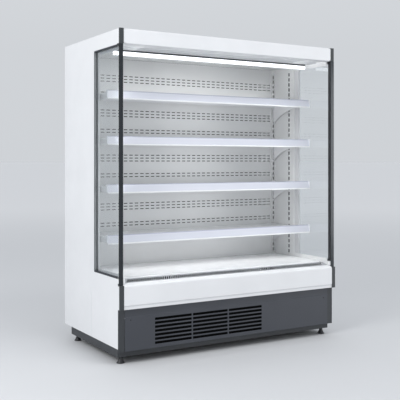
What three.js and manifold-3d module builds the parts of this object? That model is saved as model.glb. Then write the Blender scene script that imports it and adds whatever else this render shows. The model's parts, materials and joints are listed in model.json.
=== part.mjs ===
// Open multideck display fridge: a self-contained refrigerated wall case with four hook-in shelves,
// glazed end walls, an air curtain from a honeycomb outlet under the canopy and a condensing unit in
// its base. Millimetres, +Z up, the front faces -Y. The origin is the middle of the footprint.
import * as THREE from "three";
import { mergeGeometries, mergeVertices } from "three/addons/utils/BufferGeometryUtils.js";
import Module from "manifold-3d";

const wasm = await Module();
wasm.setup();

// ---------------------------------------------------------------- overall size
const BODY_WIDTH = 1640; // over the outer faces of the side panels
const BODY_DEPTH = 900; // bumper front to back of the rear wall
const BODY_HEIGHT = 2000;

// ---------------------------------------------------------------- shared sizes
const FIT = 0.3; // gap between pieces that lie against each other
const SHEET = 2; // folded steel sheet
const SIDE_THICKNESS = 40; // foamed side panel
const TRIM_PROUD = 3; // dark trims stand out past the side panels
const FOAM = 40; // tub floor
const REAR_FOAM = 45;
const ROOF_FOAM = 48;

// ---------------------------------------------------------------- heights from the floor
const FOOT_HEIGHT = 43; // underside of the base frame
const RAIL_HEIGHT = 55;
const KICK_BOTTOM = 80;
const BUMPER_BOTTOM = 333;
const TUB_RISE = 12; // tub underside over the bumper's lower edge
const BUMPER_HEIGHT = 141; // lower edge to the front top edge
const LIP_RISE = 15; // sloped lip over the bumper's front top edge
const GRILLE_RISE = 15; // the return grille climbs this much to the deck
const DECK_STEP = 8; // deck surface over the rear edge of the grille
const SILL_STEP = 3; // lower edge of the glass opening over the deck surface
const CANOPY_HEIGHT = 91;
const CEILING_DROP = 3; // ceiling sheet under the canopy's lower edge

// ---------------------------------------------------------------- front and rear fixtures
const BUMPER_INSET = 1.5; // bumper face behind the end caps
const LIP_DEPTH = 26.5;
const GRILLE_DEPTH = 60;
const GRILLE_THICKNESS = 3;
const FASCIA_SETBACK = 13; // canopy face behind the bumper end caps
const KICK_SETBACK = 28;
const OUTLET_SETBACK = 158; // front edge of the honeycomb behind the bumper end caps
const OUTLET_DEPTH = 66.5;
const DUCT_DEPTH = 202; // between the duct panels and the rear wall
const UPRIGHT_PROUD = 8; // slotted uprights in front of the duct panels
const GLASS_REAR = 392; // rear edge of the glass opening behind the front
const OPENING_RADIUS = 8;

// ---------------------------------------------------------------- shelves
const SHELF_DEPTH = 404; // tray's rear edge to the lip
const SHELF_GAP = 8; // between a shelf end and the side wall
const TRAY_HEIGHT = 40; // lip underside to tray surface
const RAIL_LEAN = 19; // the price rail leans back this much over its height
const RAIL_FACE = 51;
const SLOT_PITCH = 37.5;
const SLOT_HEIGHT = 20;
const SLOT_WIDTH = 7;
const SLOT_OVER_LIP = 19.7; // lower edge of the hook's slot over the shelf lip
const BAY_HEIGHTS = [188, 315, 300, 285, 306]; // deck to ceiling, lip to lip
const BRACKET_THICKNESS = 3;
const BRACKET_DROP = 98; // the bracket's rear end under the shelf lip
const HOOK_SWING = 10; // degrees that a shelf tips up to unhook

// ---------------------------------------------------------------- derived places
const HALF = BODY_WIDTH / 2;
const INNER = HALF - SIDE_THICKNESS;
const FRONT = -BODY_DEPTH / 2;
const BACK = BODY_DEPTH / 2;
const BASE_TOP = FOOT_HEIGHT + RAIL_HEIGHT;
const TUB_BOTTOM = BUMPER_BOTTOM + TUB_RISE;
const TUB_FLOOR = TUB_BOTTOM + FOAM;
const BUMPER_TOP = BUMPER_BOTTOM + BUMPER_HEIGHT;
const LIP_TOP = BUMPER_TOP + LIP_RISE;
const CAP_TOP = BUMPER_TOP + 3.7; // top of the bumper's end caps, under the front uprights
const SKIN_TOP = BODY_HEIGHT - 2; // the canopy's end caps stand over the body
const GRILLE_TOP = LIP_TOP + GRILLE_RISE;
const DECK_TOP = GRILLE_TOP + DECK_STEP;
const SILL = DECK_TOP + SILL_STEP;
const CANOPY_BOTTOM = BODY_HEIGHT - CANOPY_HEIGHT;
const CEILING = CANOPY_BOTTOM - CEILING_DROP;
const LIP_BACK = FRONT + BUMPER_INSET + LIP_DEPTH;
const GRILLE_BACK = LIP_BACK + GRILLE_DEPTH;
const FASCIA_FRONT = FRONT + FASCIA_SETBACK;
const CANOPY_CAP_BACK = FASCIA_FRONT + 8;
const KICK_FRONT = FRONT + KICK_SETBACK;
const OUTLET_FRONT = FRONT + OUTLET_SETBACK;
const OUTLET_BACK = OUTLET_FRONT + OUTLET_DEPTH;
const REAR_WALL_FACE = BACK - REAR_FOAM;
const DUCT_FACE = REAR_WALL_FACE - DUCT_DEPTH;
const UPRIGHT_FACE = DUCT_FACE - UPRIGHT_PROUD;
const OPENING_REAR = FRONT + GLASS_REAR;
const CHEEK_BACK = FRONT + 29.5; // rear face of the bumper's closed ends
const UPRIGHT_BACK = FRONT + 43; // rear face of the front uprights

// Undersides of the shelf lips, top shelf first: the bays keep their proportions.
function shelfLips() {
  const total = BAY_HEIGHTS.reduce((sum, bay) => sum + bay);
  const scale = (CEILING - DECK_TOP) / total;
  let z = DECK_TOP;
  const lips = BAY_HEIGHTS.slice(0, -1).map((bay) => (z += bay * scale));
  return lips.reverse();
}
const LIPS = shelfLips();

// ---------------------------------------------------------------- materials
function finish(color, roughness, metalness) {
  return new THREE.MeshStandardMaterial({ color, roughness, metalness });
}
const WHITE_STEEL = finish("#e5e8ea", 0.42, 0.05);
const LINER_WHITE = finish("#dde1e4", 0.45, 0.05);
const GLOSS_WHITE = finish("#eef1f4", 0.22, 0.05);
const DARK_TRIM = finish("#3f4347", 0.4, 0.3);
const KICK_GREY = finish("#4a4e54", 0.45, 0.3);
const BASE_GREY = finish("#44474b", 0.5, 0.3);
const FRAME_GREY = finish("#8a8e91", 0.35, 0.5);
const GLASS = finish("#d5e0e3", 0.05, 0);
const GALVANISED = finish("#a9adb0", 0.4, 0.8);
const FIN_METAL = finish("#b9bec2", 0.35, 0.9);
const BLACK_ENAMEL = finish("#1d1f22", 0.35, 0.1);
const BLACK_PLASTIC = finish("#1d1e22", 0.55, 0);
const LIGHT_DIFFUSER = finish("#fbfdff", 0.6, 0);
const RAIL_PLASTIC = finish("#d3d6e6", 0.25, 0);

// ---------------------------------------------------------------- shape helpers
const X_AXIS = new THREE.Vector3(1, 0, 0);
const Y_AXIS = new THREE.Vector3(0, 1, 0);
const Z_AXIS = new THREE.Vector3(0, 0, 1);

function box(x0, x1, y0, y1, z0, z1) {
  const geometry = new THREE.BoxGeometry(x1 - x0, y1 - y0, z1 - z0);
  return geometry.translate((x0 + x1) / 2, (y0 + y1) / 2, (z0 + z1) / 2);
}

// The points of a line whose corners [u, v, radius] are rounded where a radius is given.
function rounded(corners, closed = false) {
  const path = new THREE.Path();
  const at = corners.map(([u, v]) => new THREE.Vector2(u, v));
  const count = corners.length;
  corners.forEach(([, , radius = 0], i) => {
    const here = at[i];
    const before = at[(i + count - 1) % count];
    const after = at[(i + 1) % count];
    const isEnd = !closed && (i === 0 || i === count - 1);
    const enter = isEnd ? here : here.clone().add(before.clone().sub(here).setLength(radius));
    const leave = isEnd ? here : here.clone().add(after.clone().sub(here).setLength(radius));
    if (i === 0) path.moveTo(enter.x, enter.y);
    else path.lineTo(enter.x, enter.y);
    if (!isEnd && radius > 0) path.quadraticCurveTo(here.x, here.y, leave.x, leave.y);
  });
  const points = path.getPoints(4);
  return points.filter((point, i) => i === 0 || point.distanceTo(points[i - 1]) > 0.01);
}

function outline(corners, holes = []) {
  const shape = new THREE.Shape(rounded(corners, true));
  shape.holes = holes.map((hole) => new THREE.Path(rounded(hole, true)));
  return shape;
}

// The section of a folded sheet: the line through the corners, thickened to its left.
function foldedSheet(corners, thickness = SHEET) {
  const line = rounded(corners);
  const left = line.slice(1).map((point, i) => {
    const along = point.clone().sub(line[i]).normalize();
    return new THREE.Vector2(-along.y, along.x);
  });
  const inside = line.map((point, i) => {
    const first = left[Math.max(i - 1, 0)];
    const second = left[Math.min(i, left.length - 1)];
    const offset = first.clone().add(second).multiplyScalar(thickness / (1 + first.dot(second)));
    return point.clone().add(offset);
  });
  return new THREE.Shape([...line, ...inside.reverse()]);
}

function extruded(shape, depth) {
  return new THREE.ExtrudeGeometry(shape, { depth, bevelEnabled: false, curveSegments: 12 });
}

// An outline drawn in Y, Z and pulled from x0 to x1.
function alongX(shape, x0, x1) {
  const turn = new THREE.Matrix4().makeBasis(Y_AXIS, Z_AXIS, X_AXIS);
  return extruded(shape, x1 - x0).applyMatrix4(turn).translate(x0, 0, 0);
}

// An outline drawn in X, Z and pulled from y0 to y1.
function alongY(shape, y0, y1) {
  const turn = new THREE.Matrix4().makeBasis(X_AXIS, Z_AXIS, Y_AXIS.clone().negate());
  return extruded(shape, y1 - y0).applyMatrix4(turn).translate(0, y1, 0);
}

// An outline drawn in X, Y and pulled from z0 to z1.
function alongZ(shape, z0, z1) {
  return extruded(shape, z1 - z0).translate(0, 0, z0);
}

function rodAlongY(radius, y0, y1, sides = 20) {
  return new THREE.CylinderGeometry(radius, radius, y1 - y0, sides).translate(0, (y0 + y1) / 2, 0);
}

function rodAlongZ(radius, z0, z1, sides = 16) {
  const rod = new THREE.CylinderGeometry(radius, radius, z1 - z0, sides);
  return rod.rotateX(Math.PI / 2).translate(0, 0, (z0 + z1) / 2);
}

// A revolved profile [radius, height], turned about Z.
function turnedZ(profile, sides = 24) {
  const points = profile.map(([radius, height]) => new THREE.Vector2(radius, height));
  return new THREE.LatheGeometry(points, sides).rotateX(Math.PI / 2);
}

// ---------------------------------------------------------------- joining and cutting
function solid(geometry) {
  const bare = geometry.index ? geometry.toNonIndexed() : geometry.clone();
  bare.deleteAttribute("normal");
  bare.deleteAttribute("uv");
  const merged = mergeVertices(bare, 1e-4);
  const mesh = new wasm.Mesh({
    numProp: 3,
    vertProperties: Float32Array.from(merged.attributes.position.array),
    triVerts: Uint32Array.from(merged.index.array),
  });
  return new wasm.Manifold(mesh);
}

function geometryOf(body) {
  const { vertProperties, triVerts } = body.getMesh();
  const geometry = new THREE.BufferGeometry();
  geometry.setAttribute("position", new THREE.BufferAttribute(vertProperties, 3));
  geometry.setIndex(new THREE.BufferAttribute(triVerts, 1));
  geometry.computeVertexNormals();
  return geometry;
}

function joined(...pieces) {
  return geometryOf(pieces.map(solid).reduce((whole, piece) => whole.add(piece)));
}

function cutBy(piece, ...tools) {
  return geometryOf(tools.map(solid).reduce((whole, tool) => whole.subtract(tool), solid(piece)));
}

// Tools that don't touch each other, taken as one.
function together(tools) {
  return mergeGeometries(tools.map((tool) => (tool.index ? tool.toNonIndexed() : tool)));
}

// The mirror image across the middle plane, for the left-hand piece of a pair.
function mirrored(geometry) {
  const copy = geometry.index ? geometry.toNonIndexed() : geometry.clone();
  copy.scale(-1, 1, 1);
  const { array, count } = copy.attributes.position;
  for (let i = 0; i < count * 3; i += 9) {
    const second = array.slice(i + 3, i + 6);
    array.copyWithin(i + 3, i + 6, i + 9);
    array.set(second, i + 6);
  }
  copy.computeVertexNormals();
  return copy;
}

// ---------------------------------------------------------------- the group
const cabinet = new THREE.Group();

function add(name, geometry, material, parent = cabinet) {
  const mesh = new THREE.Mesh(geometry, material);
  mesh.name = name;
  parent.add(mesh);
  return mesh;
}

function addPair(name, right, material) {
  add(`${name}_right`, right, material);
  add(`${name}_left`, mirrored(right), material);
}

// ---------------------------------------------------------------- base frame and feet
const RAIL_WIDTH = 64;
const RAIL_WALL = 3;
const PANEL_FRONT = KICK_FRONT + 6; // lower front edges of the side panels
const FRAME_FRONT = PANEL_FRONT + 31; // the ring stands back behind the kick panel
const FRAME_INSET = 12; // and in from the side panels' outer faces
const TRAY_LIP = 15; // the tray's front edge over the ring
const FRAME_BACK = BACK - 94; // the frame stops short of the rear wall
const POST_PLATE = 3;
const REAR_POST = 40; // legs of the rear corner angles
const FOOT_PLATE = 60; // plate that takes a foot's stud
const FOOT_PLATE_THICKNESS = 4;
const FOOT_INSET = 46; // foot axis in from the side panel's outer face
const STUD_RADIUS = 5;
const STUD_CLEARANCE = 1;
const STUD_SHORT = 14; // the stud ends this far under the unit's tray
const NUT_HEIGHT = 9;
const NUT_RADIUS = 11;
const PAD_RADIUS = 25;
const PAD_THICKNESS = 4;
const STEM_RADIUS = 12;
const POST_FACE = 42; // width of the dark posts at the ends of the kick panel
const POST_WEB = 2.8;
const POST_DEPTH = 34;

function footPlaces() {
  const x = HALF - FOOT_INSET;
  const front = FRAME_FRONT + RAIL_WIDTH / 2;
  const rear = FRAME_BACK - RAIL_WIDTH / 2;
  return {
    foot_front_left: [-x, front],
    foot_front_right: [x, front],
    foot_rear_left: [-x, rear],
    foot_rear_right: [x, rear],
  };
}

// A ring of channels open below, with the unit's tray closed across its top.
function baseRing() {
  const top = BASE_TOP - FIT;
  const under = top - RAIL_WALL;
  const side = HALF - FRAME_INSET;
  const inX = side - RAIL_WIDTH;
  const inFront = FRAME_FRONT + RAIL_WIDTH;
  const inBack = FRAME_BACK - RAIL_WIDTH;
  const wall = RAIL_WALL;
  const channel = outline(
    [
      [-side + wall, FRAME_FRONT + wall],
      [side - wall, FRAME_FRONT + wall],
      [side - wall, FRAME_BACK - wall],
      [-side + wall, FRAME_BACK - wall],
    ],
    [
      [
        [-inX - wall, inFront - wall],
        [-inX - wall, inBack + wall],
        [inX + wall, inBack + wall],
        [inX + wall, inFront - wall],
      ],
    ],
  );
  const ring = cutBy(
    box(-side, side, FRAME_FRONT, FRAME_BACK, FOOT_HEIGHT, top),
    box(-inX, inX, inFront, inBack, FOOT_HEIGHT - 1, under),
    alongZ(channel, FOOT_HEIGHT - 1, under),
  );
  return joined(ring, box(-side, side, FRAME_FRONT - TRAY_LIP, FRAME_FRONT + 1, under, top));
}

function footPlates() {
  const half = RAIL_WIDTH / 2 - 1;
  const wide = FOOT_PLATE / 2;
  const plateTop = FOOT_HEIGHT + FOOT_PLATE_THICKNESS;
  const hole = STUD_RADIUS + STUD_CLEARANCE;
  return Object.values(footPlaces()).map(([x, y]) =>
    cutBy(
      box(x - wide, x + wide, y - half, y + half, FOOT_HEIGHT, plateTop),
      rodAlongZ(hole, FOOT_HEIGHT - 1, plateTop + 1).translate(x, y, 0),
    ),
  );
}

// The dark post that covers a side panel's lower front edge and carries the tub.
function kickPost() {
  const face = PANEL_FRONT - POST_PLATE;
  const plateBack = PANEL_FRONT - FIT;
  const web = INNER - FIT;
  const out = HALF - FRAME_INSET;
  const top = BASE_TOP - FIT;
  return [
    box(HALF - POST_FACE, HALF, face, plateBack, KICK_BOTTOM, BUMPER_BOTTOM - FIT),
    box(HALF - POST_FACE, out, face, FRAME_FRONT + 1, top - RAIL_WALL, top),
    box(web - POST_WEB, web, face, face + POST_DEPTH, top - 1, TUB_BOTTOM - FIT),
  ];
}

function rearPost() {
  const out = INNER - FIT;
  const angle = outline([
    [out - REAR_POST, FRAME_BACK - RAIL_WALL],
    [out - RAIL_WALL, FRAME_BACK - RAIL_WALL],
    [out - RAIL_WALL, FRAME_BACK - REAR_POST],
    [out, FRAME_BACK - REAR_POST],
    [out, FRAME_BACK],
    [out - REAR_POST, FRAME_BACK],
  ]);
  return alongZ(angle, BASE_TOP - FIT - 1, TUB_BOTTOM - FIT);
}

function baseFrame() {
  const right = [...kickPost(), rearPost()];
  return joined(baseRing(), ...footPlates(), ...right, ...right.map(mirrored));
}

function foot() {
  const nutTop = FOOT_HEIGHT - FIT;
  const nutBottom = nutTop - NUT_HEIGHT;
  const pad = turnedZ(
    [
      [0, 0],
      [PAD_RADIUS - 1, 0],
      [PAD_RADIUS, PAD_THICKNESS],
      [PAD_RADIUS * 0.8, PAD_THICKNESS * 2],
      [STEM_RADIUS, PAD_THICKNESS * 6.5],
      [STEM_RADIUS, nutBottom],
      [STUD_RADIUS, nutBottom],
      [STUD_RADIUS, BASE_TOP - STUD_SHORT],
      [0, BASE_TOP - STUD_SHORT],
    ],
    14,
  );
  return joined(pad, rodAlongZ(NUT_RADIUS, nutBottom, nutTop, 6));
}

function addBase() {
  add("base_frame", baseFrame(), BASE_GREY);
  for (const [name, [x, y]] of Object.entries(footPlaces())) {
    add(name, foot(), BLACK_PLASTIC).position.set(x, y, 0);
  }
}

// ---------------------------------------------------------------- insulated body
const TUB_WALL = 35;
const TUB_FRONT = FRONT + 10;
const TUB_WALL_TOP = BUMPER_TOP - 6;
const TUB_RAIL = 15.7; // width of the ledges that carry the deck
const TUB_RAIL_FRONT = LIP_BACK + 37;
const TUB_RAIL_REAR = UPRIGHT_FACE - 5;
const ROOF_FRONT = FASCIA_FRONT + 37;

// Height of the return grille's underside at a place behind the lip.
function grilleUnderside(y) {
  return LIP_TOP - GRILLE_THICKNESS - 0.1 + ((y - LIP_BACK) * GRILLE_RISE) / GRILLE_DEPTH;
}

function insulatedTub() {
  const wide = INNER - FIT;
  const shell = outline([
    [TUB_FRONT, TUB_BOTTOM],
    [BACK, TUB_BOTTOM],
    [BACK, TUB_FLOOR],
    [TUB_FRONT + TUB_WALL, TUB_FLOOR, 12],
    [TUB_FRONT + TUB_WALL, TUB_WALL_TOP, 4],
    [TUB_FRONT, TUB_WALL_TOP, 4],
  ]);
  const deckBottom = DECK_TOP - SHEET - FIT * 2;
  const step = GRILLE_BACK + 3;
  const ledge = outline([
    [TUB_RAIL_FRONT, TUB_FLOOR - 1],
    [TUB_RAIL_REAR, TUB_FLOOR - 1],
    [TUB_RAIL_REAR, deckBottom],
    [step, deckBottom],
    [step, grilleUnderside(step) - FIT],
    [TUB_RAIL_FRONT, grilleUnderside(TUB_RAIL_FRONT) - FIT],
  ]);
  const right = alongX(ledge, wide - TUB_RAIL, wide);
  return joined(alongX(shell, -wide, wide), right, mirrored(right));
}

function addInsulatedBody() {
  const wide = INNER - FIT;
  const top = SKIN_TOP - FIT;
  const rear = outline([
    [REAR_WALL_FACE, TUB_FLOOR + FIT],
    [BACK, TUB_FLOOR + FIT],
    [BACK, top, 3],
    [REAR_WALL_FACE, top],
  ]);
  const roof = box(-wide, wide, ROOF_FRONT, REAR_WALL_FACE - FIT, top - ROOF_FOAM, top);
  add("insulated_tub", insulatedTub(), LINER_WHITE);
  add("rear_wall", alongX(rear, -wide, wide), WHITE_STEEL);
  add("roof_panel", roof, WHITE_STEEL);
}

// ---------------------------------------------------------------- side panels and their glass
const GLASS_THICKNESS = 8;
const GLASS_INSET = 13; // outer face of the glass in from the side panel's outer face
const REVEAL = 34; // depth of the opening down to the inner flange
const FLANGE_SILL = 21; // the inner flange stands this much over the opening's lower edge
const FLANGE_HEAD = 24;
const INNER_STEP = 18; // the inner face stops this far behind the opening's rear edge
const FRAME_WEB = 3;
const FRAME_LIP = 10;
const BEAD_LIP = 8;
const BEAD_REAR = 28; // the bead is wider along the opening's rear edge
const STRIP_PROUD = 2.5; // slotted strip on the inner face of the side panel
const STRIP_WIDTH = 70;
const STRIP_SETBACK = 25; // strip's front edge behind the opening's rear edge
const STRIP_SLOT = 50; // slot column behind the strip's front edge
const STRIP_SHEET = 1.5;
const STRIP_CHANNEL = 10; // depth of the hollow behind the strip's sheet
const STRIP_MARGIN = 6; // closed edge round that hollow
const STRIP_SLOT_WIDTH = 14;
const STRIP_SLOT_HEIGHT = 25;
const SEAM_WIDTH = 3; // groove where the side's two lower skins meet
const SEAM_DEPTH = 1.5;
const SEAM_SETBACK = 39; // behind the opening's rear edge
const SEAM_UNDER_SILL = 102;
const UPRIGHT_WIDTH = 28;
const UPRIGHT_DEPTH = 30;
const UPRIGHT_FLANGE = 4; // thickness of the flange seen from the front

const FLANGE_BACK = UPRIGHT_BACK - UPRIGHT_DEPTH + UPRIGHT_FLANGE;

// Outline [y, z] of a side panel with an opening whose edges are rear, sill and head.
function panelOutline(rear, sill, head, radius) {
  const behindUpright = UPRIGHT_BACK + FIT;
  return outline([
    [PANEL_FRONT, BASE_TOP],
    [BACK, BASE_TOP],
    [BACK, SKIN_TOP, 6],
    [CANOPY_CAP_BACK, SKIN_TOP],
    [CANOPY_CAP_BACK, CANOPY_BOTTOM + FIT],
    [behindUpright, CANOPY_BOTTOM + FIT],
    [behindUpright, head],
    [rear, head, radius],
    [rear, sill, radius],
    [behindUpright, sill],
    [behindUpright, SILL],
    [FLANGE_BACK + FIT, SILL],
    [FLANGE_BACK + FIT, LIP_TOP + FIT],
    [CHEEK_BACK + FIT, LIP_TOP + FIT],
    [CHEEK_BACK + FIT, BUMPER_BOTTOM],
    [PANEL_FRONT, BUMPER_BOTTOM],
  ]);
}

// Lower edges of the slots in a column: a run starts at each shelf's hook and counts down.
function slotHeights(bottom, top) {
  const hooks = LIPS.map((lip) => lip + SLOT_OVER_LIP);
  const heights = [...hooks];
  for (let z = hooks[0] + SLOT_PITCH; z < top - SLOT_HEIGHT; z += SLOT_PITCH) heights.push(z);
  hooks.forEach((hook, i) => {
    const end = (hooks[i + 1] ?? bottom - SLOT_PITCH) + 0.7 * SLOT_PITCH;
    for (let z = hook - SLOT_PITCH; z > end; z -= SLOT_PITCH) heights.push(z);
  });
  return heights;
}

function sidePanel() {
  const panel = panelOutline(OPENING_REAR, SILL + FLANGE_SILL, CEILING - FLANGE_HEAD, OPENING_RADIUS);
  const rebate = outline([
    [FRONT - 1, SILL],
    [OPENING_REAR, SILL, OPENING_RADIUS],
    [OPENING_REAR, CEILING, OPENING_RADIUS],
    [FRONT - 1, CEILING],
  ]);
  const step = box(
    INNER - 1,
    HALF - REVEAL,
    OPENING_REAR - OPENING_RADIUS - 1,
    OPENING_REAR + INNER_STEP,
    SILL + FLANGE_SILL,
    CEILING - FLANGE_HEAD,
  );
  const y0 = OPENING_REAR + STRIP_SETBACK;
  const y1 = y0 + STRIP_WIDTH;
  const bottom = SILL + STRIP_MARGIN;
  const top = CEILING - STRIP_MARGIN;
  const face = INNER - STRIP_PROUD;
  const inset = STRIP_MARGIN;
  const channelBack = face + STRIP_SHEET + STRIP_CHANNEL;
  const channel = box(face + STRIP_SHEET, channelBack, y0 + inset, y1 - inset, bottom + inset, top - inset);
  const column = y0 + STRIP_SLOT;
  const half = STRIP_SLOT_WIDTH / 2;
  const slots = slotHeights(bottom + inset, top - inset).map((z) =>
    box(face - 1, face + STRIP_SHEET + 1, column - half, column + half, z, z + STRIP_SLOT_HEIGHT),
  );
  const seam = box(
    HALF - SEAM_DEPTH,
    HALF + 1,
    OPENING_REAR + SEAM_SETBACK,
    OPENING_REAR + SEAM_SETBACK + SEAM_WIDTH,
    BASE_TOP - 1,
    SILL - SEAM_UNDER_SILL,
  );
  const shell = joined(alongX(panel, INNER, HALF), box(face, INNER + 1, y0, y1, bottom, top));
  return cutBy(shell, alongX(rebate, HALF - REVEAL, HALF + 1), step, channel, seam, together(slots));
}

// A band of the given width that follows the edge of the opening, with its own width at the rear.
function openingBand(width, rearWidth = width) {
  const rear = OPENING_REAR - FIT;
  const sill = SILL + FIT;
  const head = CEILING - FIT;
  const start = UPRIGHT_BACK + FIT;
  const radius = OPENING_RADIUS;
  const inner = Math.max(radius - width, 1);
  return outline([
    [start, sill],
    [rear, sill, radius],
    [rear, head, radius],
    [start, head],
    [start, head - width],
    [rear - rearWidth, head - width, inner],
    [rear - rearWidth, sill + width, inner],
    [start, sill + width],
  ]);
}

function glassFrame() {
  const outer = HALF - FIT;
  const bottom = HALF - REVEAL + FIT;
  const glassOuter = HALF - GLASS_INSET;
  const glassInner = glassOuter - GLASS_THICKNESS;
  return joined(
    alongX(openingBand(FRAME_WEB), bottom, outer),
    alongX(openingBand(FRAME_LIP), glassOuter + FIT, outer),
    alongX(openingBand(BEAD_LIP, BEAD_REAR), bottom, glassInner - FIT),
  );
}

const GLASS_SEAT = FIT + FRAME_WEB + FIT; // the pane's edge in from the opening

function sideGlass() {
  const pane = outline([
    [FLANGE_BACK + FIT, SILL + GLASS_SEAT],
    [OPENING_REAR - GLASS_SEAT, SILL + GLASS_SEAT, 5],
    [OPENING_REAR - GLASS_SEAT, CEILING - GLASS_SEAT, 5],
    [FLANGE_BACK + FIT, CEILING - GLASS_SEAT],
  ]);
  const glassOuter = HALF - GLASS_INSET;
  return alongX(pane, glassOuter - GLASS_THICKNESS, glassOuter);
}

// An angle: its flange covers the pane's front edge, and the pane is bonded to its inner leg.
function frontUpright() {
  const out = HALF + TRIM_PROUD;
  const inside = out - UPRIGHT_WIDTH;
  const face = UPRIGHT_BACK - UPRIGHT_DEPTH;
  const legOuter = HALF - GLASS_INSET - GLASS_THICKNESS - FIT;
  const flange = outline([
    [inside, face, 2],
    [out, face, 2],
    [out, FLANGE_BACK],
    [inside, FLANGE_BACK],
  ]);
  const root = FLANGE_BACK - 1;
  const topShoe = box(inside, out, root, UPRIGHT_BACK, CEILING - GLASS_SEAT + FIT, CANOPY_BOTTOM);
  const bottomShoe = box(inside, out, root, CHEEK_BACK, CAP_TOP + FIT, LIP_TOP);
  return joined(
    alongZ(flange, CAP_TOP + FIT, CANOPY_BOTTOM),
    box(inside, legOuter, root, UPRIGHT_BACK, SILL + FIT, CANOPY_BOTTOM),
    topShoe,
    bottomShoe,
  );
}

function addSides() {
  addPair("side_panel", sidePanel(), WHITE_STEEL);
  addPair("glass_frame", glassFrame(), FRAME_GREY);
  addPair("side_glass", sideGlass(), GLASS);
  addPair("front_upright", frontUpright(), DARK_TRIM);
}

// ---------------------------------------------------------------- bumper, kick panel and caps
const BUMPER_GROOVE = 25; // groove over the bumper's lower edge
const BUMPER_STEP = 5.5; // recess of the strip below the groove
const KICK_BAND = 48; // upper band of the kick panel, set back a little
const KICK_BAND_STEP = 2;
const KICK_TOP_FLANGE = 20;
const KICK_LOWER_FLANGE = 5;
const KICK_SLOT_HEIGHT = 15.5;
const KICK_SLOT_PITCH = 24.2;
const KICK_SLOT_ROWS = 7;
const KICK_SLOT_FIRST = 31; // first row's middle over the panel's lower edge
const KICK_GRILLE_INSET = 202; // grille's left end in from the left end of the panel
const KICK_COLUMN = 258;
const KICK_COLUMN_GAP = 9;
const KICK_COLUMNS = 3;

function frontPanel() {
  const face = FRONT + BUMPER_INSET;
  const groove = BUMPER_BOTTOM + BUMPER_GROOVE;
  const front = [
    [LIP_BACK, LIP_TOP],
    [face, BUMPER_TOP, 7],
    [face, groove],
    [face + BUMPER_STEP, groove - 3],
    [face + BUMPER_STEP, BUMPER_BOTTOM, 2.5],
    [CHEEK_BACK, BUMPER_BOTTOM],
  ];
  const seat = grilleUnderside(LIP_BACK) - FIT;
  const ledgeEnd = TUB_FRONT + TUB_WALL - 3;
  const ledge = [
    [ledgeEnd, TUB_WALL_TOP + FIT],
    [ledgeEnd, seat],
    [LIP_BACK, seat],
  ];
  const endInner = HALF + TRIM_PROUD - UPRIGHT_WIDTH - FIT;
  const inner = INNER - 2 * FIT;
  const cheek = box(endInner - 1, HALF - FIT, FRONT + 4.3, CHEEK_BACK, BUMPER_BOTTOM, BUMPER_TOP);
  return joined(
    alongX(foldedSheet(front), -endInner, endInner),
    alongX(foldedSheet([...ledge, ...front]), -inner, inner),
    cheek,
    mirrored(cheek),
  );
}

function bumperEndCap() {
  const out = HALF + TRIM_PROUD;
  const inside = out - UPRIGHT_WIDTH;
  const section = outline([
    [FRONT, BUMPER_BOTTOM, 2],
    [FRONT + 4, BUMPER_BOTTOM],
    [FRONT + 4, BUMPER_TOP + FIT],
    [CHEEK_BACK - FIT, BUMPER_TOP + FIT],
    [CHEEK_BACK - FIT, CAP_TOP],
    [FRONT, CAP_TOP, 3],
  ]);
  const sideLip = box(HALF, out, FRONT + 2, FRONT + 12, BUMPER_BOTTOM, CAP_TOP - 1);
  return joined(alongX(section, inside, out), sideLip);
}

function kickSlots() {
  const left = -(HALF - POST_FACE) + KICK_GRILLE_INSET;
  const slots = [];
  for (let column = 0; column < KICK_COLUMNS; column++) {
    const x = left + column * (KICK_COLUMN + KICK_COLUMN_GAP);
    for (let row = 0; row < KICK_SLOT_ROWS; row++) {
      const z = KICK_BOTTOM + KICK_SLOT_FIRST + row * KICK_SLOT_PITCH;
      const half = KICK_SLOT_HEIGHT / 2;
      slots.push(box(x, x + KICK_COLUMN, KICK_FRONT - 5, KICK_FRONT + 5, z - half, z + half));
    }
  }
  return together(slots);
}

function kickPanel() {
  const top = BUMPER_BOTTOM - 2 * FIT;
  const fold = top - KICK_BAND;
  const band = KICK_FRONT + KICK_BAND_STEP;
  const half = INNER - 2 * FIT - POST_WEB;
  const section = foldedSheet(
    [
      [KICK_FRONT + KICK_TOP_FLANGE, top],
      [band, top, 3],
      [band, fold],
      [KICK_FRONT, fold - 2],
      [KICK_FRONT, KICK_BOTTOM, 3],
      [KICK_FRONT + KICK_LOWER_FLANGE, KICK_BOTTOM],
    ],
    SHEET,
  );
  return cutBy(alongX(section, -half, half), kickSlots());
}

function addFront() {
  add("front_panel", frontPanel(), WHITE_STEEL);
  add("kick_panel", kickPanel(), KICK_GREY);
  addPair("bumper_end_cap", bumperEndCap(), DARK_TRIM);
}

// ---------------------------------------------------------------- canopy, air outlet and light
const FASCIA_RETURN = 45; // level underside behind the fascia's lower edge
const OUTLET_FLANGE = 18; // flange that the honeycomb lies against
const CANOPY_CAP = 29; // width of the dark corner caps
const HONEYCOMB_HEIGHT = 24;
const CELL_WIDTH = 54; // honeycomb cell along the outlet
const CELL_DEPTH = 34; // and across it, corner to corner
const CELL_WALL = 3;
const LIGHT_HALF = 745;
const LIGHT_DEPTH = 30;
const LIGHT_HEIGHT = 33;
const LIGHT_STEP = 11; // depth of the profile's front lip
const LIGHT_GAP = 9; // behind the outlet

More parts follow.
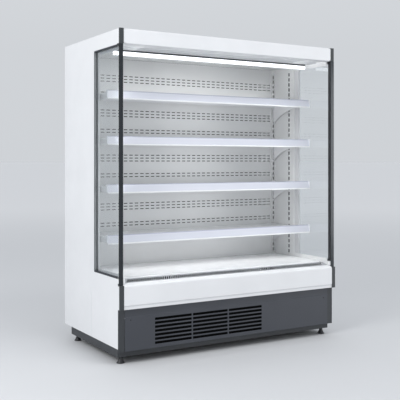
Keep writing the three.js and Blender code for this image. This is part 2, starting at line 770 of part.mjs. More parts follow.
function canopyFascia() {
  const top = SKIN_TOP;
  const capInner = HALF + 1 - CANOPY_CAP - FIT;
  const inner = INNER - 2 * FIT;
  const front = FASCIA_FRONT;
  const section = foldedSheet([
    [ROOF_FRONT - FIT, top],
    [front, top, 4],
    [front, CANOPY_BOTTOM, 5],
    [front + FASCIA_RETURN, CANOPY_BOTTOM],
    [OUTLET_FRONT, CANOPY_BOTTOM + SHEET * 2],
    [OUTLET_FRONT, CANOPY_BOTTOM + OUTLET_FLANGE],
  ]);
  const ends = box(-capInner, capInner, front, front + SHEET, CANOPY_BOTTOM + 5, top - 4);
  return joined(alongX(section, -inner, inner), ends);
}

function canopyEndCap() {
  const out = HALF + 1;
  const section = outline([
    [out - CANOPY_CAP, FASCIA_FRONT - 2, 2],
    [out, FASCIA_FRONT - 2, 3],
    [out, CANOPY_CAP_BACK - FIT],
    [out - CANOPY_CAP, CANOPY_CAP_BACK - FIT],
  ]);
  return alongZ(section, CANOPY_BOTTOM + FIT, BODY_HEIGHT);
}

function hexagon(x, y) {
  const dx = CELL_WIDTH / 2;
  const dy = CELL_DEPTH / 2;
  return outline([
    [x, y - dy],
    [x + dx, y - dy / 2],
    [x + dx, y + dy / 2],
    [x, y + dy],
    [x - dx, y + dy / 2],
    [x - dx, y - dy / 2],
  ]);
}

// Two staggered rows of open hexagonal cells that straighten the falling air.
function airOutlet() {
  const half = INNER - 2 * FIT;
  const y0 = OUTLET_FRONT + FIT;
  const y1 = OUTLET_BACK - FIT;
  const pitch = CELL_WIDTH + CELL_WALL;
  const rowStep = CELL_DEPTH * 0.75 + CELL_WALL;
  const count = Math.floor((2 * half - 2 * CELL_WALL - pitch / 2) / pitch);
  const cells = [];
  for (let row = 0; row < 2; row++) {
    const y = (y0 + y1) / 2 + (row - 0.5) * rowStep;
    for (let i = 0; i < count; i++) {
      const x = (i - (count - 1) / 2 + (row - 0.5) / 2) * pitch;
      cells.push(alongZ(hexagon(x, y), CEILING - 1, CEILING + HONEYCOMB_HEIGHT + 1));
    }
  }
  const plate = box(-half, half, y0, y1, CEILING, CEILING + HONEYCOMB_HEIGHT);
  return cutBy(plate, together(cells));
}

function ceilingPanel() {
  const section = foldedSheet([
    [OUTLET_BACK, CEILING + HONEYCOMB_HEIGHT],
    [OUTLET_BACK, CEILING],
    [DUCT_FACE - FIT, CEILING],
  ]);
  return alongX(section, -(INNER - 2 * FIT), INNER - 2 * FIT);
}

function lightProfile() {
  const y0 = OUTLET_BACK + LIGHT_GAP;
  const y1 = y0 + LIGHT_DEPTH;
  const top = CEILING - FIT;
  const section = foldedSheet([
    [y1, top - LIGHT_HEIGHT],
    [y1, top],
    [y0, top],
    [y0, top - LIGHT_STEP],
  ]);
  return alongX(section, -LIGHT_HALF, LIGHT_HALF);
}

function lightDiffuser() {
  const y0 = OUTLET_BACK + LIGHT_GAP;
  const y1 = y0 + LIGHT_DEPTH - SHEET - FIT;
  const top = CEILING - FIT - SHEET - FIT;
  const bottom = CEILING - FIT - LIGHT_HEIGHT;
  const step = CEILING - FIT - LIGHT_STEP - FIT;
  const section = outline([
    [y1, bottom],
    [y1, top],
    [y0 + SHEET + FIT, top],
    [y0 + SHEET + FIT, step],
    [y0, step],
    [y0, bottom, 8],
  ]);
  return alongX(section, -LIGHT_HALF + 2, LIGHT_HALF - 2);
}

function addCanopy() {
  add("canopy_fascia", canopyFascia(), WHITE_STEEL);
  addPair("canopy_end_cap", canopyEndCap(), DARK_TRIM);
  add("air_outlet_honeycomb", airOutlet(), FRAME_GREY);
  add("ceiling_panel", ceilingPanel(), LINER_WHITE);
  add("light_profile", lightProfile(), GALVANISED);
  add("light_diffuser", lightDiffuser(), LIGHT_DIFFUSER);
}

// ---------------------------------------------------------------- rear uprights and duct panels
const REAR_UPRIGHT_WIDTH = 28;
const REAR_UPRIGHT_DEPTH = 40;
const UPRIGHT_SLOT_IN = 13.5; // slot column in from the side panel's inner face
const DUCT_SLOTS = 6; // slots in a row
const DUCT_SLOT_LENGTH = 225;
const DUCT_SLOT_HEIGHT = 5;
const DUCT_SLOT_PITCH = 248;
const DUCT_ROW_PITCH = 20;
const DUCT_FOLD = 14; // depth of the panels' folded edges
const DUCT_UNDER_DECK = 7; // the last panel ends under the deck's surface
const PANEL_SEAM = 26; // a panel's lower edge over the shelf lip in front of it
const UPPER_ROWS = [0.44, 0.22, 0.27, 0.35]; // three rows, as shares of each bay from its top
const LOWER_ROWS = [0.78, 0.64, 0.66, 0.73]; // two rows

function rearUpright() {
  const out = INNER - FIT;
  const inside = out - REAR_UPRIGHT_WIDTH;
  const back = UPRIGHT_FACE + REAR_UPRIGHT_DEPTH;
  const section = foldedSheet([
    [out, back],
    [out, UPRIGHT_FACE],
    [inside, UPRIGHT_FACE],
    [inside, back],
  ].reverse());
  const x = INNER - UPRIGHT_SLOT_IN;
  const half = SLOT_WIDTH / 2;
  const slots = slotHeights(DECK_TOP + 20, CEILING - 20).map((z) =>
    box(x - half, x + half, UPRIGHT_FACE - 1, UPRIGHT_FACE + 5, z, z + SLOT_HEIGHT),
  );
  return cutBy(alongZ(section, TUB_FLOOR + FIT, CEILING - FIT), together(slots));
}

// Edges of the panels, from the ceiling down to the deck.
function panelEdges() {
  return [CEILING - FIT, ...LIPS.slice(0, 3).map((lip) => lip + PANEL_SEAM), DECK_TOP - DUCT_UNDER_DECK];
}

function rowHeights(bay) {
  const top = bay === 0 ? CEILING : LIPS[bay - 1];
  const height = top - LIPS[bay];
  const upper = top - UPPER_ROWS[bay] * height;
  const lower = top - LOWER_ROWS[bay] * height;
  const half = DUCT_ROW_PITCH / 2;
  return [upper + DUCT_ROW_PITCH, upper, upper - DUCT_ROW_PITCH, lower + half, lower - half];
}

// A sheet with rows of air slots and its upper and lower edges folded back.
function ductPanel(bay) {
  const edges = panelEdges();
  const top = edges[bay] - FIT;
  const bottom = edges[bay + 1] + FIT;
  const half = INNER - FIT - REAR_UPRIGHT_WIDTH - FIT;
  const slots = rowHeights(bay).flatMap((z) =>
    Array.from({ length: DUCT_SLOTS }, (_, i) => {
      const x = (i - (DUCT_SLOTS - 1) / 2) * DUCT_SLOT_PITCH;
      const dx = DUCT_SLOT_LENGTH / 2;
      const dz = DUCT_SLOT_HEIGHT / 2;
      return box(x - dx, x + dx, DUCT_FACE - 1, DUCT_FACE + SHEET + 1, z - dz, z + dz);
    }),
  );
  const fold = DUCT_FACE + DUCT_FOLD;
  const section = foldedSheet([
    [fold, bottom],
    [DUCT_FACE, bottom],
    [DUCT_FACE, top],
    [fold, top],
  ].reverse());
  return cutBy(alongX(section, -half, half), together(slots));
}

function addRearDuct() {
  addPair("rear_upright", rearUpright(), LINER_WHITE);
  for (let bay = 0; bay < 4; bay++) {
    add(`duct_panel_${bay + 1}`, ductPanel(bay), LINER_WHITE);
  }
}

// ---------------------------------------------------------------- shelves
const SHELF_HALF = INNER - SHELF_GAP;
const TRAY_REAR = UPRIGHT_FACE - 5;
const SHELF_FRONT = TRAY_REAR - SHELF_DEPTH;
const SHELF_LIP = 9; // the lip reaches this far in front of the tray's front fold
const LIP_OVERHANG = 19; // the lip and the price rail reach past the tray's ends
const TRAY_FLANGE = 22;
const RAIL_DEPTH = 6; // price rail, front to back
const RAIL_BACK = 1.6;
const RAIL_LENS = 1.4;
const RAIL_CHEEK = 3;
const RAIL_SEAT_Y = 1.6; // the rail's lower front edge behind the lip
const RAIL_SEAT_Z = 4.2; // and over its underside
const RAIL_SLANT = (TRAY_HEIGHT - 3) * (RAIL_LEAN / RAIL_FACE);

// Heights are over the underside of the shelf's lip.
function shelfTray() {
  const foldY = SHELF_FRONT + SHELF_LIP;
  const topY = foldY + RAIL_SLANT;
  const low = TRAY_HEIGHT - TRAY_FLANGE;
  const front = [
    [topY, TRAY_HEIGHT, 3],
    [foldY, 2],
    [SHELF_FRONT, 0],
    [SHELF_FRONT, 6],
  ];
  const tray = foldedSheet([[TRAY_REAR, TRAY_HEIGHT], ...front]);
  const nose = foldedSheet([[topY + 12, TRAY_HEIGHT], ...front]);
  const rearFlange = foldedSheet([
    [TRAY_REAR, low],
    [TRAY_REAR, TRAY_HEIGHT],
    [TRAY_REAR - 6, TRAY_HEIGHT],
  ]);
  const side = outline([
    [TRAY_REAR, low],
    [TRAY_REAR, TRAY_HEIGHT - 1],
    [topY + 6, TRAY_HEIGHT - 1],
    [foldY + 12, low],
  ]);
  const betweenBrackets = INNER - UPRIGHT_SLOT_IN - BRACKET_THICKNESS - 1;
  const noseHalf = SHELF_HALF + LIP_OVERHANG;
  const flange = alongX(side, SHELF_HALF - SHEET, SHELF_HALF);
  return joined(
    alongX(tray, -SHELF_HALF, SHELF_HALF),
    alongX(nose, -noseHalf, noseHalf),
    alongX(rearFlange, -betweenBrackets, betweenBrackets),
    flange,
    mirrored(flange),
  );
}

// Price rail: a slanted strip with a pocket behind a clear lens, and an upright cheek at each end.
function priceRail() {
  const tilt = Math.atan2(RAIL_LEAN, RAIL_FACE);
  const length = Math.hypot(RAIL_LEAN, RAIL_FACE);
  const pocket = outline([
    [0, 0],
    [RAIL_DEPTH, 0],
    [RAIL_DEPTH, length],
    [RAIL_DEPTH - RAIL_BACK, length],
    [RAIL_DEPTH - RAIL_BACK, RAIL_LENS * 2],
    [RAIL_LENS, RAIL_LENS * 2],
    [RAIL_LENS, length - RAIL_LENS],
    [0, length - RAIL_LENS],
  ]);
  const backY = RAIL_DEPTH * Math.cos(tilt);
  const backZ = -RAIL_DEPTH * Math.sin(tilt);
  const cheek = outline([
    [0, 0],
    [backY, backZ],
    [backY + RAIL_LEAN, backZ + RAIL_FACE],
    [RAIL_LEAN, RAIL_FACE],
    [0, RAIL_FACE, 2],
  ]);
  const half = SHELF_HALF + LIP_OVERHANG + 1;
  const strip = alongX(pocket, -half + 1, half - 1).rotateX(-tilt);
  const cap = alongX(cheek, half - RAIL_CHEEK, half);
  return joined(strip, cap, mirrored(cap)).translate(0, SHELF_FRONT + RAIL_SEAT_Y, RAIL_SEAT_Z);
}

// Side view of a bracket: the lower edge runs level and then curves down to the rear.
function bracketOutline() {
  const rear = UPRIGHT_FACE - 2 * FIT;
  const wall = UPRIGHT_FACE + SHEET;
  const neck = SLOT_OVER_LIP + FIT;
  const swing = Math.tan(THREE.MathUtils.degToRad(HOOK_SWING));
  const tail = 12;
  const top = TRAY_HEIGHT - SHEET - FIT;
  const front = SHELF_FRONT + 36;
  const bend = SHELF_FRONT + 114;
  const lug = SLOT_OVER_LIP - 3 * SLOT_PITCH + 2;
  const path = new THREE.Shape();
  path.moveTo(front, top);
  path.lineTo(front, 14);
  path.lineTo(front + 14, 4);
  path.lineTo(bend, 2);
  path.quadraticCurveTo((bend + rear) / 2, 2, rear, 2 - BRACKET_DROP);
  path.lineTo(rear, lug);
  path.lineTo(wall + 3, lug);
  path.lineTo(wall + 3, lug + 10);
  path.lineTo(rear, lug + 10);
  path.lineTo(rear, neck);
  path.lineTo(wall + 0.5, neck);
  path.lineTo(wall + 0.8 + tail * swing, neck - tail);
  path.lineTo(wall + 5.5, neck - tail);
  path.lineTo(wall + 5.5, neck + 8);
  path.lineTo(rear, neck + 8);
  path.lineTo(TRAY_REAR, top);
  return path;
}

function shelfBracket() {
  const x = INNER - UPRIGHT_SLOT_IN;
  const half = BRACKET_THICKNESS / 2;
  return alongX(bracketOutline(), x - half, x + half);
}

function addShelves() {
  const bracket = shelfBracket();
  LIPS.forEach((lip, i) => {
    const shelf = new THREE.Group();
    shelf.position.z = lip;
    cabinet.add(shelf);
    const label = i + 1;
    add(`shelf_${label}`, shelfTray(), GLOSS_WHITE, shelf);
    add(`price_rail_${label}`, priceRail(), RAIL_PLASTIC, shelf);
    add(`shelf_bracket_${label}_right`, bracket, GLOSS_WHITE, shelf);
    add(`shelf_bracket_${label}_left`, mirrored(bracket), GLOSS_WHITE, shelf);
  });
}

// ---------------------------------------------------------------- deck tray and return grille
const DECK_FLANGE = 14;
const GRILLE_SLOT_PITCH = 36;
const GRILLE_SLOT_WIDTH = 22;
const GRILLE_SLOT_LENGTH = 50;
const GRILLE_BORDER = 15; // plain border at the ends of the grille

function deckTray() {
  const front = GRILLE_BACK + 4 * FIT;
  const rear = UPRIGHT_FACE - 2 * FIT;
  const half = INNER - 4;
  const section = foldedSheet([
    [rear, DECK_TOP - DECK_FLANGE],
    [rear, DECK_TOP, 3],
    [front, DECK_TOP, 3],
    [front, DECK_TOP - DECK_FLANGE],
  ]);
  const clearance = TUB_RAIL + 3;
  const wide = alongX(section, -half + clearance, half - clearance);
  return joined(wide, box(-half, half, front + 3, rear - 3, DECK_TOP - SHEET, DECK_TOP));
}

// Drawn flat and tilted up towards the deck.
function returnGrille() {
  const slope = Math.atan2(GRILLE_RISE, GRILLE_DEPTH);
  const length = Math.hypot(GRILLE_RISE, GRILLE_DEPTH);
  const half = INNER - 2 * FIT;
  const count = Math.floor((2 * half - 2 * GRILLE_BORDER) / GRILLE_SLOT_PITCH);
  const y0 = (length - GRILLE_SLOT_LENGTH) / 2;
  const y1 = y0 + GRILLE_SLOT_LENGTH;
  const slots = Array.from({ length: count }, (_, i) => {
    const x = (i - (count - 1) / 2) * GRILLE_SLOT_PITCH;
    const dx = GRILLE_SLOT_WIDTH / 2;
    return box(x - dx, x + dx, y0, y1, -GRILLE_THICKNESS - 1, 1);
  });
  const plate = box(-half, half, SHEET, length, -GRILLE_THICKNESS, 0);
  const grille = cutBy(plate, together(slots)).rotateX(slope);
  return grille.translate(0, LIP_BACK, LIP_TOP);
}

function addDeck() {
  add("deck_tray", deckTray(), GLOSS_WHITE);
  add("return_air_grille", returnGrille(), GALVANISED);
}

// ---------------------------------------------------------------- fans
const SHAFT_RADIUS = 4;
const SHAFT_CLEARANCE = 0.4;
const TIP_GAP = 4; // between the blade tips and the ring of the plate
const BLADE_THICKNESS = 2;
const MOTOR_GAP = 4;
const STRAP_WIDTH = 16;
const STRAP_THICKNESS = 3;

// One curved blade: a thin sheet between the hub and the tip circle, closed all round.
function fanBlade(hub, tip, depth, start, sweep) {
  const across = 3;
  const out = 2;
  const points = [];
  const corner = (i, j, k) => (k * (out + 1) + j) * (across + 1) + i;
  for (let k = 0; k < 2; k++) {
    for (let j = 0; j <= out; j++) {
      const radius = hub + ((tip - hub) * j) / out;
      for (let i = 0; i <= across; i++) {
        const u = i / across - 0.5;
        const angle = start + u * sweep + (0.25 * j) / out;
        const y = u * depth * (1 - (0.35 * j) / out) + (k - 0.5) * BLADE_THICKNESS;
        points.push(radius * Math.cos(angle), y, radius * Math.sin(angle));
      }
    }
  }
  const faces = [];
  const quad = (a, b, c, d) => faces.push(a, b, c, a, c, d);
  for (let j = 0; j < out; j++) {
    for (let i = 0; i < across; i++) {
      quad(corner(i, j, 0), corner(i, j + 1, 0), corner(i + 1, j + 1, 0), corner(i + 1, j, 0));
      quad(corner(i, j, 1), corner(i + 1, j, 1), corner(i + 1, j + 1, 1), corner(i, j + 1, 1));
    }
    quad(corner(0, j, 0), corner(0, j, 1), corner(0, j + 1, 1), corner(0, j + 1, 0));
    quad(corner(across, j, 0), corner(across, j + 1, 0), corner(across, j + 1, 1), corner(across, j, 1));
  }
  for (let i = 0; i < across; i++) {
    quad(corner(i, 0, 0), corner(i + 1, 0, 0), corner(i + 1, 0, 1), corner(i, 0, 1));
    quad(corner(i, out, 0), corner(i, out, 1), corner(i + 1, out, 1), corner(i + 1, out, 0));
  }
  const blade = new THREE.BufferGeometry();
  blade.setAttribute("position", new THREE.Float32BufferAttribute(points, 3));
  blade.setIndex(faces);
  return blade;
}

// Fan wheel turning about Y, with a blind bore for the motor shaft in its rear face.
function fanWheel(tip, hub, depth, blades) {
  const half = depth / 2;
  const bore = SHAFT_RADIUS + SHAFT_CLEARANCE;
  const profile = [
    [0, -half],
    [hub - 3, -half],
    [hub, -half + 4],
    [hub, half],
    [bore, half],
    [bore, -half + 6],
    [0, -half + 6],
  ].map(([radius, y]) => new THREE.Vector2(radius, y));
  const pieces = [new THREE.LatheGeometry(profile, 16)];
  for (let i = 0; i < blades; i++) {
    const start = ((i + 0.3) * 2 * Math.PI) / blades;
    pieces.push(fanBlade(hub - 2.5, tip, depth - 4, start, 0.8));
  }
  return joined(...pieces);
}

// Motor can with its shaft, on a strap that bridges the fan opening behind the plate.
function motorOnStrap(ring, fanDepth, can, canLength) {
  const face = fanDepth / 2 + MOTOR_GAP;
  const reach = ring + STRAP_WIDTH / 2;
  const strap = STRAP_THICKNESS;
  const wide = STRAP_WIDTH / 2;
  const leg = box(reach - strap, reach, 0, face + strap, -wide, wide);
  return [
    rodAlongY(can, face, face + canLength, 16),
    rodAlongY(SHAFT_RADIUS, -fanDepth / 2 + 8, face + 1, 12),
    box(-reach, reach, face, face + strap, -wide, wide),
    leg,
    mirrored(leg),
  ];
}

// ---------------------------------------------------------------- evaporator section in the tub
const EVAPORATOR_FAN_TIP = 68;
const EVAPORATOR_FAN_HUB = 22;
const EVAPORATOR_FAN_DEPTH = 24;
const EVAPORATOR_FAN_SPACING = 760;
const EVAPORATOR_MOTOR_RADIUS = 28;
const EVAPORATOR_MOTOR_LENGTH = 26;
const FAN_PLATE_LENGTH = 160;
const FAN_PLATE_TILT = 45; // degrees, its upper edge leaning back
const FAN_PLATE_SETBACK = 179; // plate's middle behind the bumper end caps
const EVAPORATOR_SETBACK = 300;
const EVAPORATOR_LENGTH = 1240;
const EVAPORATOR_DEPTH = 290;
const EVAPORATOR_HEIGHT = 108;
const EVAPORATOR_FIN_PITCH = 40;
const FIN_THICKNESS = 2.5;
const COIL_TRAY = 8; // height of the closed foot of a coil
const TUBE_RADIUS = 5;

function fanPlate() {
  const half = INNER - FIT - TUB_RAIL - FIT;
  const ring = EVAPORATOR_FAN_TIP + TIP_GAP;
  const length = FAN_PLATE_LENGTH / 2;
  const holes = [-1, 1].map((side) => {
    const x = (side * EVAPORATOR_FAN_SPACING) / 2;
    return rodAlongY(ring, -1, SHEET + 1, 28).translate(x, 0, 0);
  });
  const plate = cutBy(box(-half, half, 0, SHEET, -length, length), ...holes);
  const motors = [-1, 1].flatMap((side) =>
    motorOnStrap(ring, EVAPORATOR_FAN_DEPTH, EVAPORATOR_MOTOR_RADIUS, EVAPORATOR_MOTOR_LENGTH).map((piece) =>
      piece.translate((side * EVAPORATOR_FAN_SPACING) / 2, 0, 0),
    ),
  );
  return joined(plate, ...motors);
}

// Vertical fins rising from the coil's tray, with the tubes' return bends on one end.
function finnedCoil(length, depth, height, pitch) {
  const base = COIL_TRAY;
  const count = Math.floor(length / pitch);
  const corners = [
    [length / 2, 0],
    [-length / 2, 0],
  ];
  for (let i = 0; i <= count; i++) {
    const x = (i - count / 2) * pitch;
    corners.push([x - FIN_THICKNESS / 2, base], [x - FIN_THICKNESS / 2, height]);
    corners.push([x + FIN_THICKNESS / 2, height], [x + FIN_THICKNESS / 2, base]);
  }
  corners[1][0] = corners[2][0];
  corners[0][0] = corners[corners.length - 1][0];
  const fins = alongY(outline(corners), 0, depth);
  const bends = [0.25, 0.5, 0.75].map((share) =>
    returnBend(height * 0.3).translate(corners[0][0] - 1, depth * share, height / 2),
  );
  return joined(fins, ...bends);
}

// A half ring of tube that sticks out along +X, upright.
function returnBend(spread) {
  const radius = spread / 2;
  const points = [];
  for (let i = 0; i <= 6; i++) {
    const angle = -Math.PI / 2 + (Math.PI * i) / 6;
    points.push(new THREE.Vector3(radius * Math.cos(angle), 0, radius * Math.sin(angle)));
  }
  const section = new THREE.Shape().absarc(0, 0, TUBE_RADIUS, 0, 2 * Math.PI);
  const extrudePath = new THREE.CatmullRomCurve3(points);
  const options = { extrudePath, steps: 6, curveSegments: 3, bevelEnabled: false };
  return new THREE.ExtrudeGeometry(section, options);
}

function addEvaporatorSection() {
  const tilted = new THREE.Group();
  const middle = (TUB_FLOOR + DECK_TOP - SHEET) / 2 - 2;
  tilted.position.set(0, FRONT + FAN_PLATE_SETBACK, middle);
  tilted.rotation.x = -THREE.MathUtils.degToRad(FAN_PLATE_TILT);
  cabinet.add(tilted);
  add("fan_plate", fanPlate(), GALVANISED, tilted);
  for (const [side, sign] of [["left", -1], ["right", 1]]) {
    const wheel = fanWheel(EVAPORATOR_FAN_TIP, EVAPORATOR_FAN_HUB, EVAPORATOR_FAN_DEPTH, 5);
    const mesh = add(`evaporator_fan_${side}`, wheel, BLACK_PLASTIC, tilted);
    mesh.position.x = (sign * EVAPORATOR_FAN_SPACING) / 2;
  }
  const coil = finnedCoil(EVAPORATOR_LENGTH, EVAPORATOR_DEPTH, EVAPORATOR_HEIGHT, EVAPORATOR_FIN_PITCH);
  const mesh = add("evaporator_coil", coil, FIN_METAL);
  mesh.position.set(0, FRONT + EVAPORATOR_SETBACK, TUB_FLOOR + FIT);
}

// ---------------------------------------------------------------- condensing unit in the base
const CONDENSER_LENGTH = 500;
const CONDENSER_DEPTH = 60;
const CONDENSER_HEIGHT = 220;
const CONDENSER_FIN_PITCH = 18;
const CONDENSER_SETBACK = 24; // behind the kick panel's face
const CONDENSER_FAN_TIP = 96;
const CONDENSER_FAN_HUB = 28;
const CONDENSER_FAN_DEPTH = 30;
const CONDENSER_MOTOR_RADIUS = 36;
const CONDENSER_MOTOR_LENGTH = 48;
const SHROUD_DEPTH = 45;
const COMPRESSOR_GAP = 170; // compressor axis past the condenser's end
const COMPRESSOR_SETBACK = 330;
const COMPRESSOR_RADIUS = 78;
const COMPRESSOR_HEIGHT = 178;
const ELECTRIC_BOX = [110, 190, 150];
const ELECTRIC_BOX_INSET = 48;
const ELECTRIC_BOX_SETBACK = 140; // its middle behind the kick panel's face
const LID_HEIGHT = 22;
const LID_PROUD = 3;

// Middle of the louvred part of the kick panel.
function grilleMiddle() {
  const width = KICK_COLUMNS * KICK_COLUMN + (KICK_COLUMNS - 1) * KICK_COLUMN_GAP;
  return -(HALF - POST_FACE) + KICK_GRILLE_INSET + width / 2;
}

// An open-fronted box behind the coil whose rear sheet has the fan opening.
function fanShroud() {
  const half = CONDENSER_LENGTH / 2;
  const ring = CONDENSER_FAN_TIP + TIP_GAP;
  const middle = CONDENSER_HEIGHT / 2;
  const shell = cutBy(
    box(-half, half, -SHROUD_DEPTH, SHEET, -middle, middle),
    box(-half + SHEET, half - SHEET, -SHROUD_DEPTH - 1, 0, -middle + SHEET, middle - SHEET),
    rodAlongY(ring, -5, 5, 32),
  );
  const motor = motorOnStrap(ring, CONDENSER_FAN_DEPTH, CONDENSER_MOTOR_RADIUS, CONDENSER_MOTOR_LENGTH);
  return joined(shell, ...motor);
}

function compressor() {
  const r = COMPRESSOR_RADIUS;
  const h = COMPRESSOR_HEIGHT;
  const seam = h * 0.52;
  const bead = 6;
  const can = turnedZ([
    [0, 14],
    [r * 0.7, 14],
    [r * 0.97, 34],
    [r, 60],
    [r, seam],
    [r + bead - 1, seam],
    [r + bead - 1, seam + bead],
    [r, seam + bead],
    [r * 0.98, h * 0.72],
    [r * 0.82, h * 0.9],
    [r * 0.45, h],
    [0, h + 3],
  ]);
  const plateX = r + 8;
  const plateY = r * 0.8;
  const plate = alongZ(
    outline([
      [-plateX, -plateY, 10],
      [plateX, -plateY, 10],
      [plateX, plateY, 10],
      [-plateX, plateY, 10],
    ]),
    12,
    17,
  );
  const feet = [-1, 1].flatMap((sx) =>
    [-1, 1].map((sy) => rodAlongZ(11, 0, 13, 10).translate(sx * (plateX - 16), sy * (plateY - 16), 0)),
  );
  const terminalBox = box(-24, 24, -r - 26, -r + 6, 60, 116);
  const suction = rodAlongZ(7, h * 0.8, h + 24, 10).translate(-34, 20, 0);
  return joined(can, plate, ...feet, terminalBox, suction);
}

// Control box with its lid and the gland for the supply cable.
function electricalBox() {
  const [width, depth, height] = ELECTRIC_BOX;
  const gland = rodAlongY(10, depth / 2 - 1, depth / 2 + 14, 12).translate(0, 0, 40);
  const bore = rodAlongY(5, depth / 2 + 2, depth / 2 + 15, 12).translate(0, 0, 40);
  const lidX = width / 2 + LID_PROUD;
  const lidY = depth / 2 + LID_PROUD;
  const lid = box(-lidX, lidX, -lidY, lidY, height - LID_HEIGHT, height);
  const body = box(-width / 2, width / 2, -depth / 2, depth / 2, 0, height - LID_HEIGHT + 2);
  return cutBy(joined(body, lid, gland), bore);
}

function addCondensingUnit() {
  const x = grilleMiddle();
  const y = KICK_FRONT + CONDENSER_SETBACK;
  const coil = finnedCoil(CONDENSER_LENGTH, CONDENSER_DEPTH, CONDENSER_HEIGHT, CONDENSER_FIN_PITCH);
  add("condenser_coil", coil, FIN_METAL).position.set(x, y, BASE_TOP);

  const unit = new THREE.Group();
  unit.position.set(x, y + CONDENSER_DEPTH + FIT + SHROUD_DEPTH, BASE_TOP + CONDENSER_HEIGHT / 2);
  cabinet.add(unit);
  add("condenser_fan_shroud", fanShroud(), GALVANISED, unit);
  const wheel = fanWheel(CONDENSER_FAN_TIP, CONDENSER_FAN_HUB, CONDENSER_FAN_DEPTH, 5);
  add("condenser_fan", wheel, BLACK_PLASTIC, unit);

  const pump = add("compressor", compressor(), BLACK_ENAMEL);
  const axis = x + CONDENSER_LENGTH / 2 + COMPRESSOR_GAP;
  pump.position.set(axis, FRONT + COMPRESSOR_SETBACK, BASE_TOP);
  const control = add("electrical_box", electricalBox(), GALVANISED);
  const controlX = INNER - ELECTRIC_BOX_INSET - ELECTRIC_BOX[0] / 2;
  control.position.set(controlX, KICK_FRONT + ELECTRIC_BOX_SETBACK, BASE_TOP);
}

addBase();
addInsulatedBody();
addSides();
addFront();
addCanopy();
addRearDuct();
addShelves();
addDeck();
addEvaporatorSection();
addCondensingUnit();

export default cabinet;
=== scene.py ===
# %% [markdown]
# # An open multideck display fridge
# A shop's open fridge is a foamed cabinet with no door. Cold air falls past the shelves from a honeycomb
# under the canopy, is drawn in through a grille at the front edge of the deck, and goes round again
# behind a perforated back. This lesson takes the measured model of that cabinet and gives it what the
# eye expects: eased edges, real perforations, screws, fins and finishes.

# %% Load the measured model
import json
import math
from collections import namedtuple

import bmesh
import bpy
from mathutils import Matrix, Vector


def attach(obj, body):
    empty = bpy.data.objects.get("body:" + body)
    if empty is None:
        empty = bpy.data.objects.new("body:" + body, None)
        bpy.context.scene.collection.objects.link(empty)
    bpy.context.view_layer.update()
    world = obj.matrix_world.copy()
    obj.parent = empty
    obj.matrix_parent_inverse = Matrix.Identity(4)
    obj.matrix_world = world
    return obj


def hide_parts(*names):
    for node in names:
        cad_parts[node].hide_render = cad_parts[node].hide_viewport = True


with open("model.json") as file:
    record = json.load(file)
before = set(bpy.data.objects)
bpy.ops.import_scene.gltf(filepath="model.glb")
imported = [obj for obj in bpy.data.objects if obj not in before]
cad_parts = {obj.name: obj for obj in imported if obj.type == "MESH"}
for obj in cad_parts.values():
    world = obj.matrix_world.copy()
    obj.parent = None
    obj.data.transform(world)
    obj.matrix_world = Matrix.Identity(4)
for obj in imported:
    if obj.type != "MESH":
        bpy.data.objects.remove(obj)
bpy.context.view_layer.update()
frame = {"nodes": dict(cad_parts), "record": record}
MM = 0.001
NODES = frame["nodes"]
RECORD = frame["record"]
BODY_OF = {node: body for body, members in RECORD["behaviour"]["bodies"].items() for node in members}
SLOT_OF = {part["node"]: part["material_slot"] for part in RECORD["subparts"]}

# %% [markdown]
# ## Camera
# The photograph was taken from eye height with the camera level, a little over five metres away and to
# the left of the open front. A camera could be tilted down to take in the feet, but then upright edges
# would lean together. They stay upright in the photograph, so the camera here is level too and its view
# is shifted down slightly.

# %% Camera
PHOTO_SIZE = 400
FOCAL_PIXELS = 765.9
HORIZON_ROW = 161.3
SENSOR = 36.0
CAMERA_PLACE = (-2.726, -4.550, 1.212)
CAMERA_TURN = -30.87

camera_data = bpy.data.cameras.new("photo_camera")
camera_data.sensor_width = SENSOR
camera_data.lens = FOCAL_PIXELS * SENSOR / PHOTO_SIZE
camera_data.shift_y = (HORIZON_ROW - PHOTO_SIZE / 2) / PHOTO_SIZE
camera = bpy.data.objects.new("photo_camera", camera_data)
camera.location = CAMERA_PLACE
camera.rotation_euler = (math.radians(90), 0, math.radians(CAMERA_TURN))
bpy.context.scene.collection.objects.link(camera)
bpy.context.scene.camera = camera
print("lens", round(camera_data.lens, 2), "mm, shift", round(camera_data.shift_y, 4))

# %% [markdown]
# ## Colours and nodes
# Colours are written as the sRGB hex values that a picture editor shows, and Blender's shaders want
# linear light, so one function converts them. Nodes could be added one line at a time, but a finish
# would then take a page. A second function adds a node together with its settings and links, in shader
# trees and geometry trees alike, and a third one starts every finish.

# %% Colour and node helpers
def linear(hex_colour):
    """An sRGB hex colour as linear red, green, blue and alpha."""
    channels = [int(hex_colour[i:i + 2], 16) / 255 for i in (1, 3, 5)]
    return [c / 12.92 if c <= 0.04045 else ((c + 0.055) / 1.055) ** 2.4 for c in channels] + [1.0]


def add_node(tree, kind, inputs=None, **settings):
    """A new node. An input is a value, another node's socket, or a tuple of sockets that join there."""
    new = tree.nodes.new(kind)
    for key, value in settings.items():
        setattr(new, key, value)
    for key, value in (inputs or {}).items():
        socket = new.inputs[key]
        for source in value if isinstance(value, tuple) else (value,):
            if isinstance(source, bpy.types.NodeSocket):
                tree.links.new(source, socket)
            else:
                socket.default_value = source
    return new


Finish = namedtuple("Finish", "material tree principled place")


def start_finish(name, uniform):
    """A new finish whose uniform values are set on its Principled shader's own sockets."""
    material = bpy.data.materials.new(name)
    material.use_nodes = True
    tree = material.node_tree
    principled = tree.nodes["Principled BSDF"]
    for key, value in uniform.items():
        principled.inputs[key].default_value = value
    return Finish(material, tree, principled, add_node(tree, "ShaderNodeTexCoord").outputs["Object"])


print("the white coat in linear light is", [round(c, 3) for c in linear("#dfe0e2")[:3]])

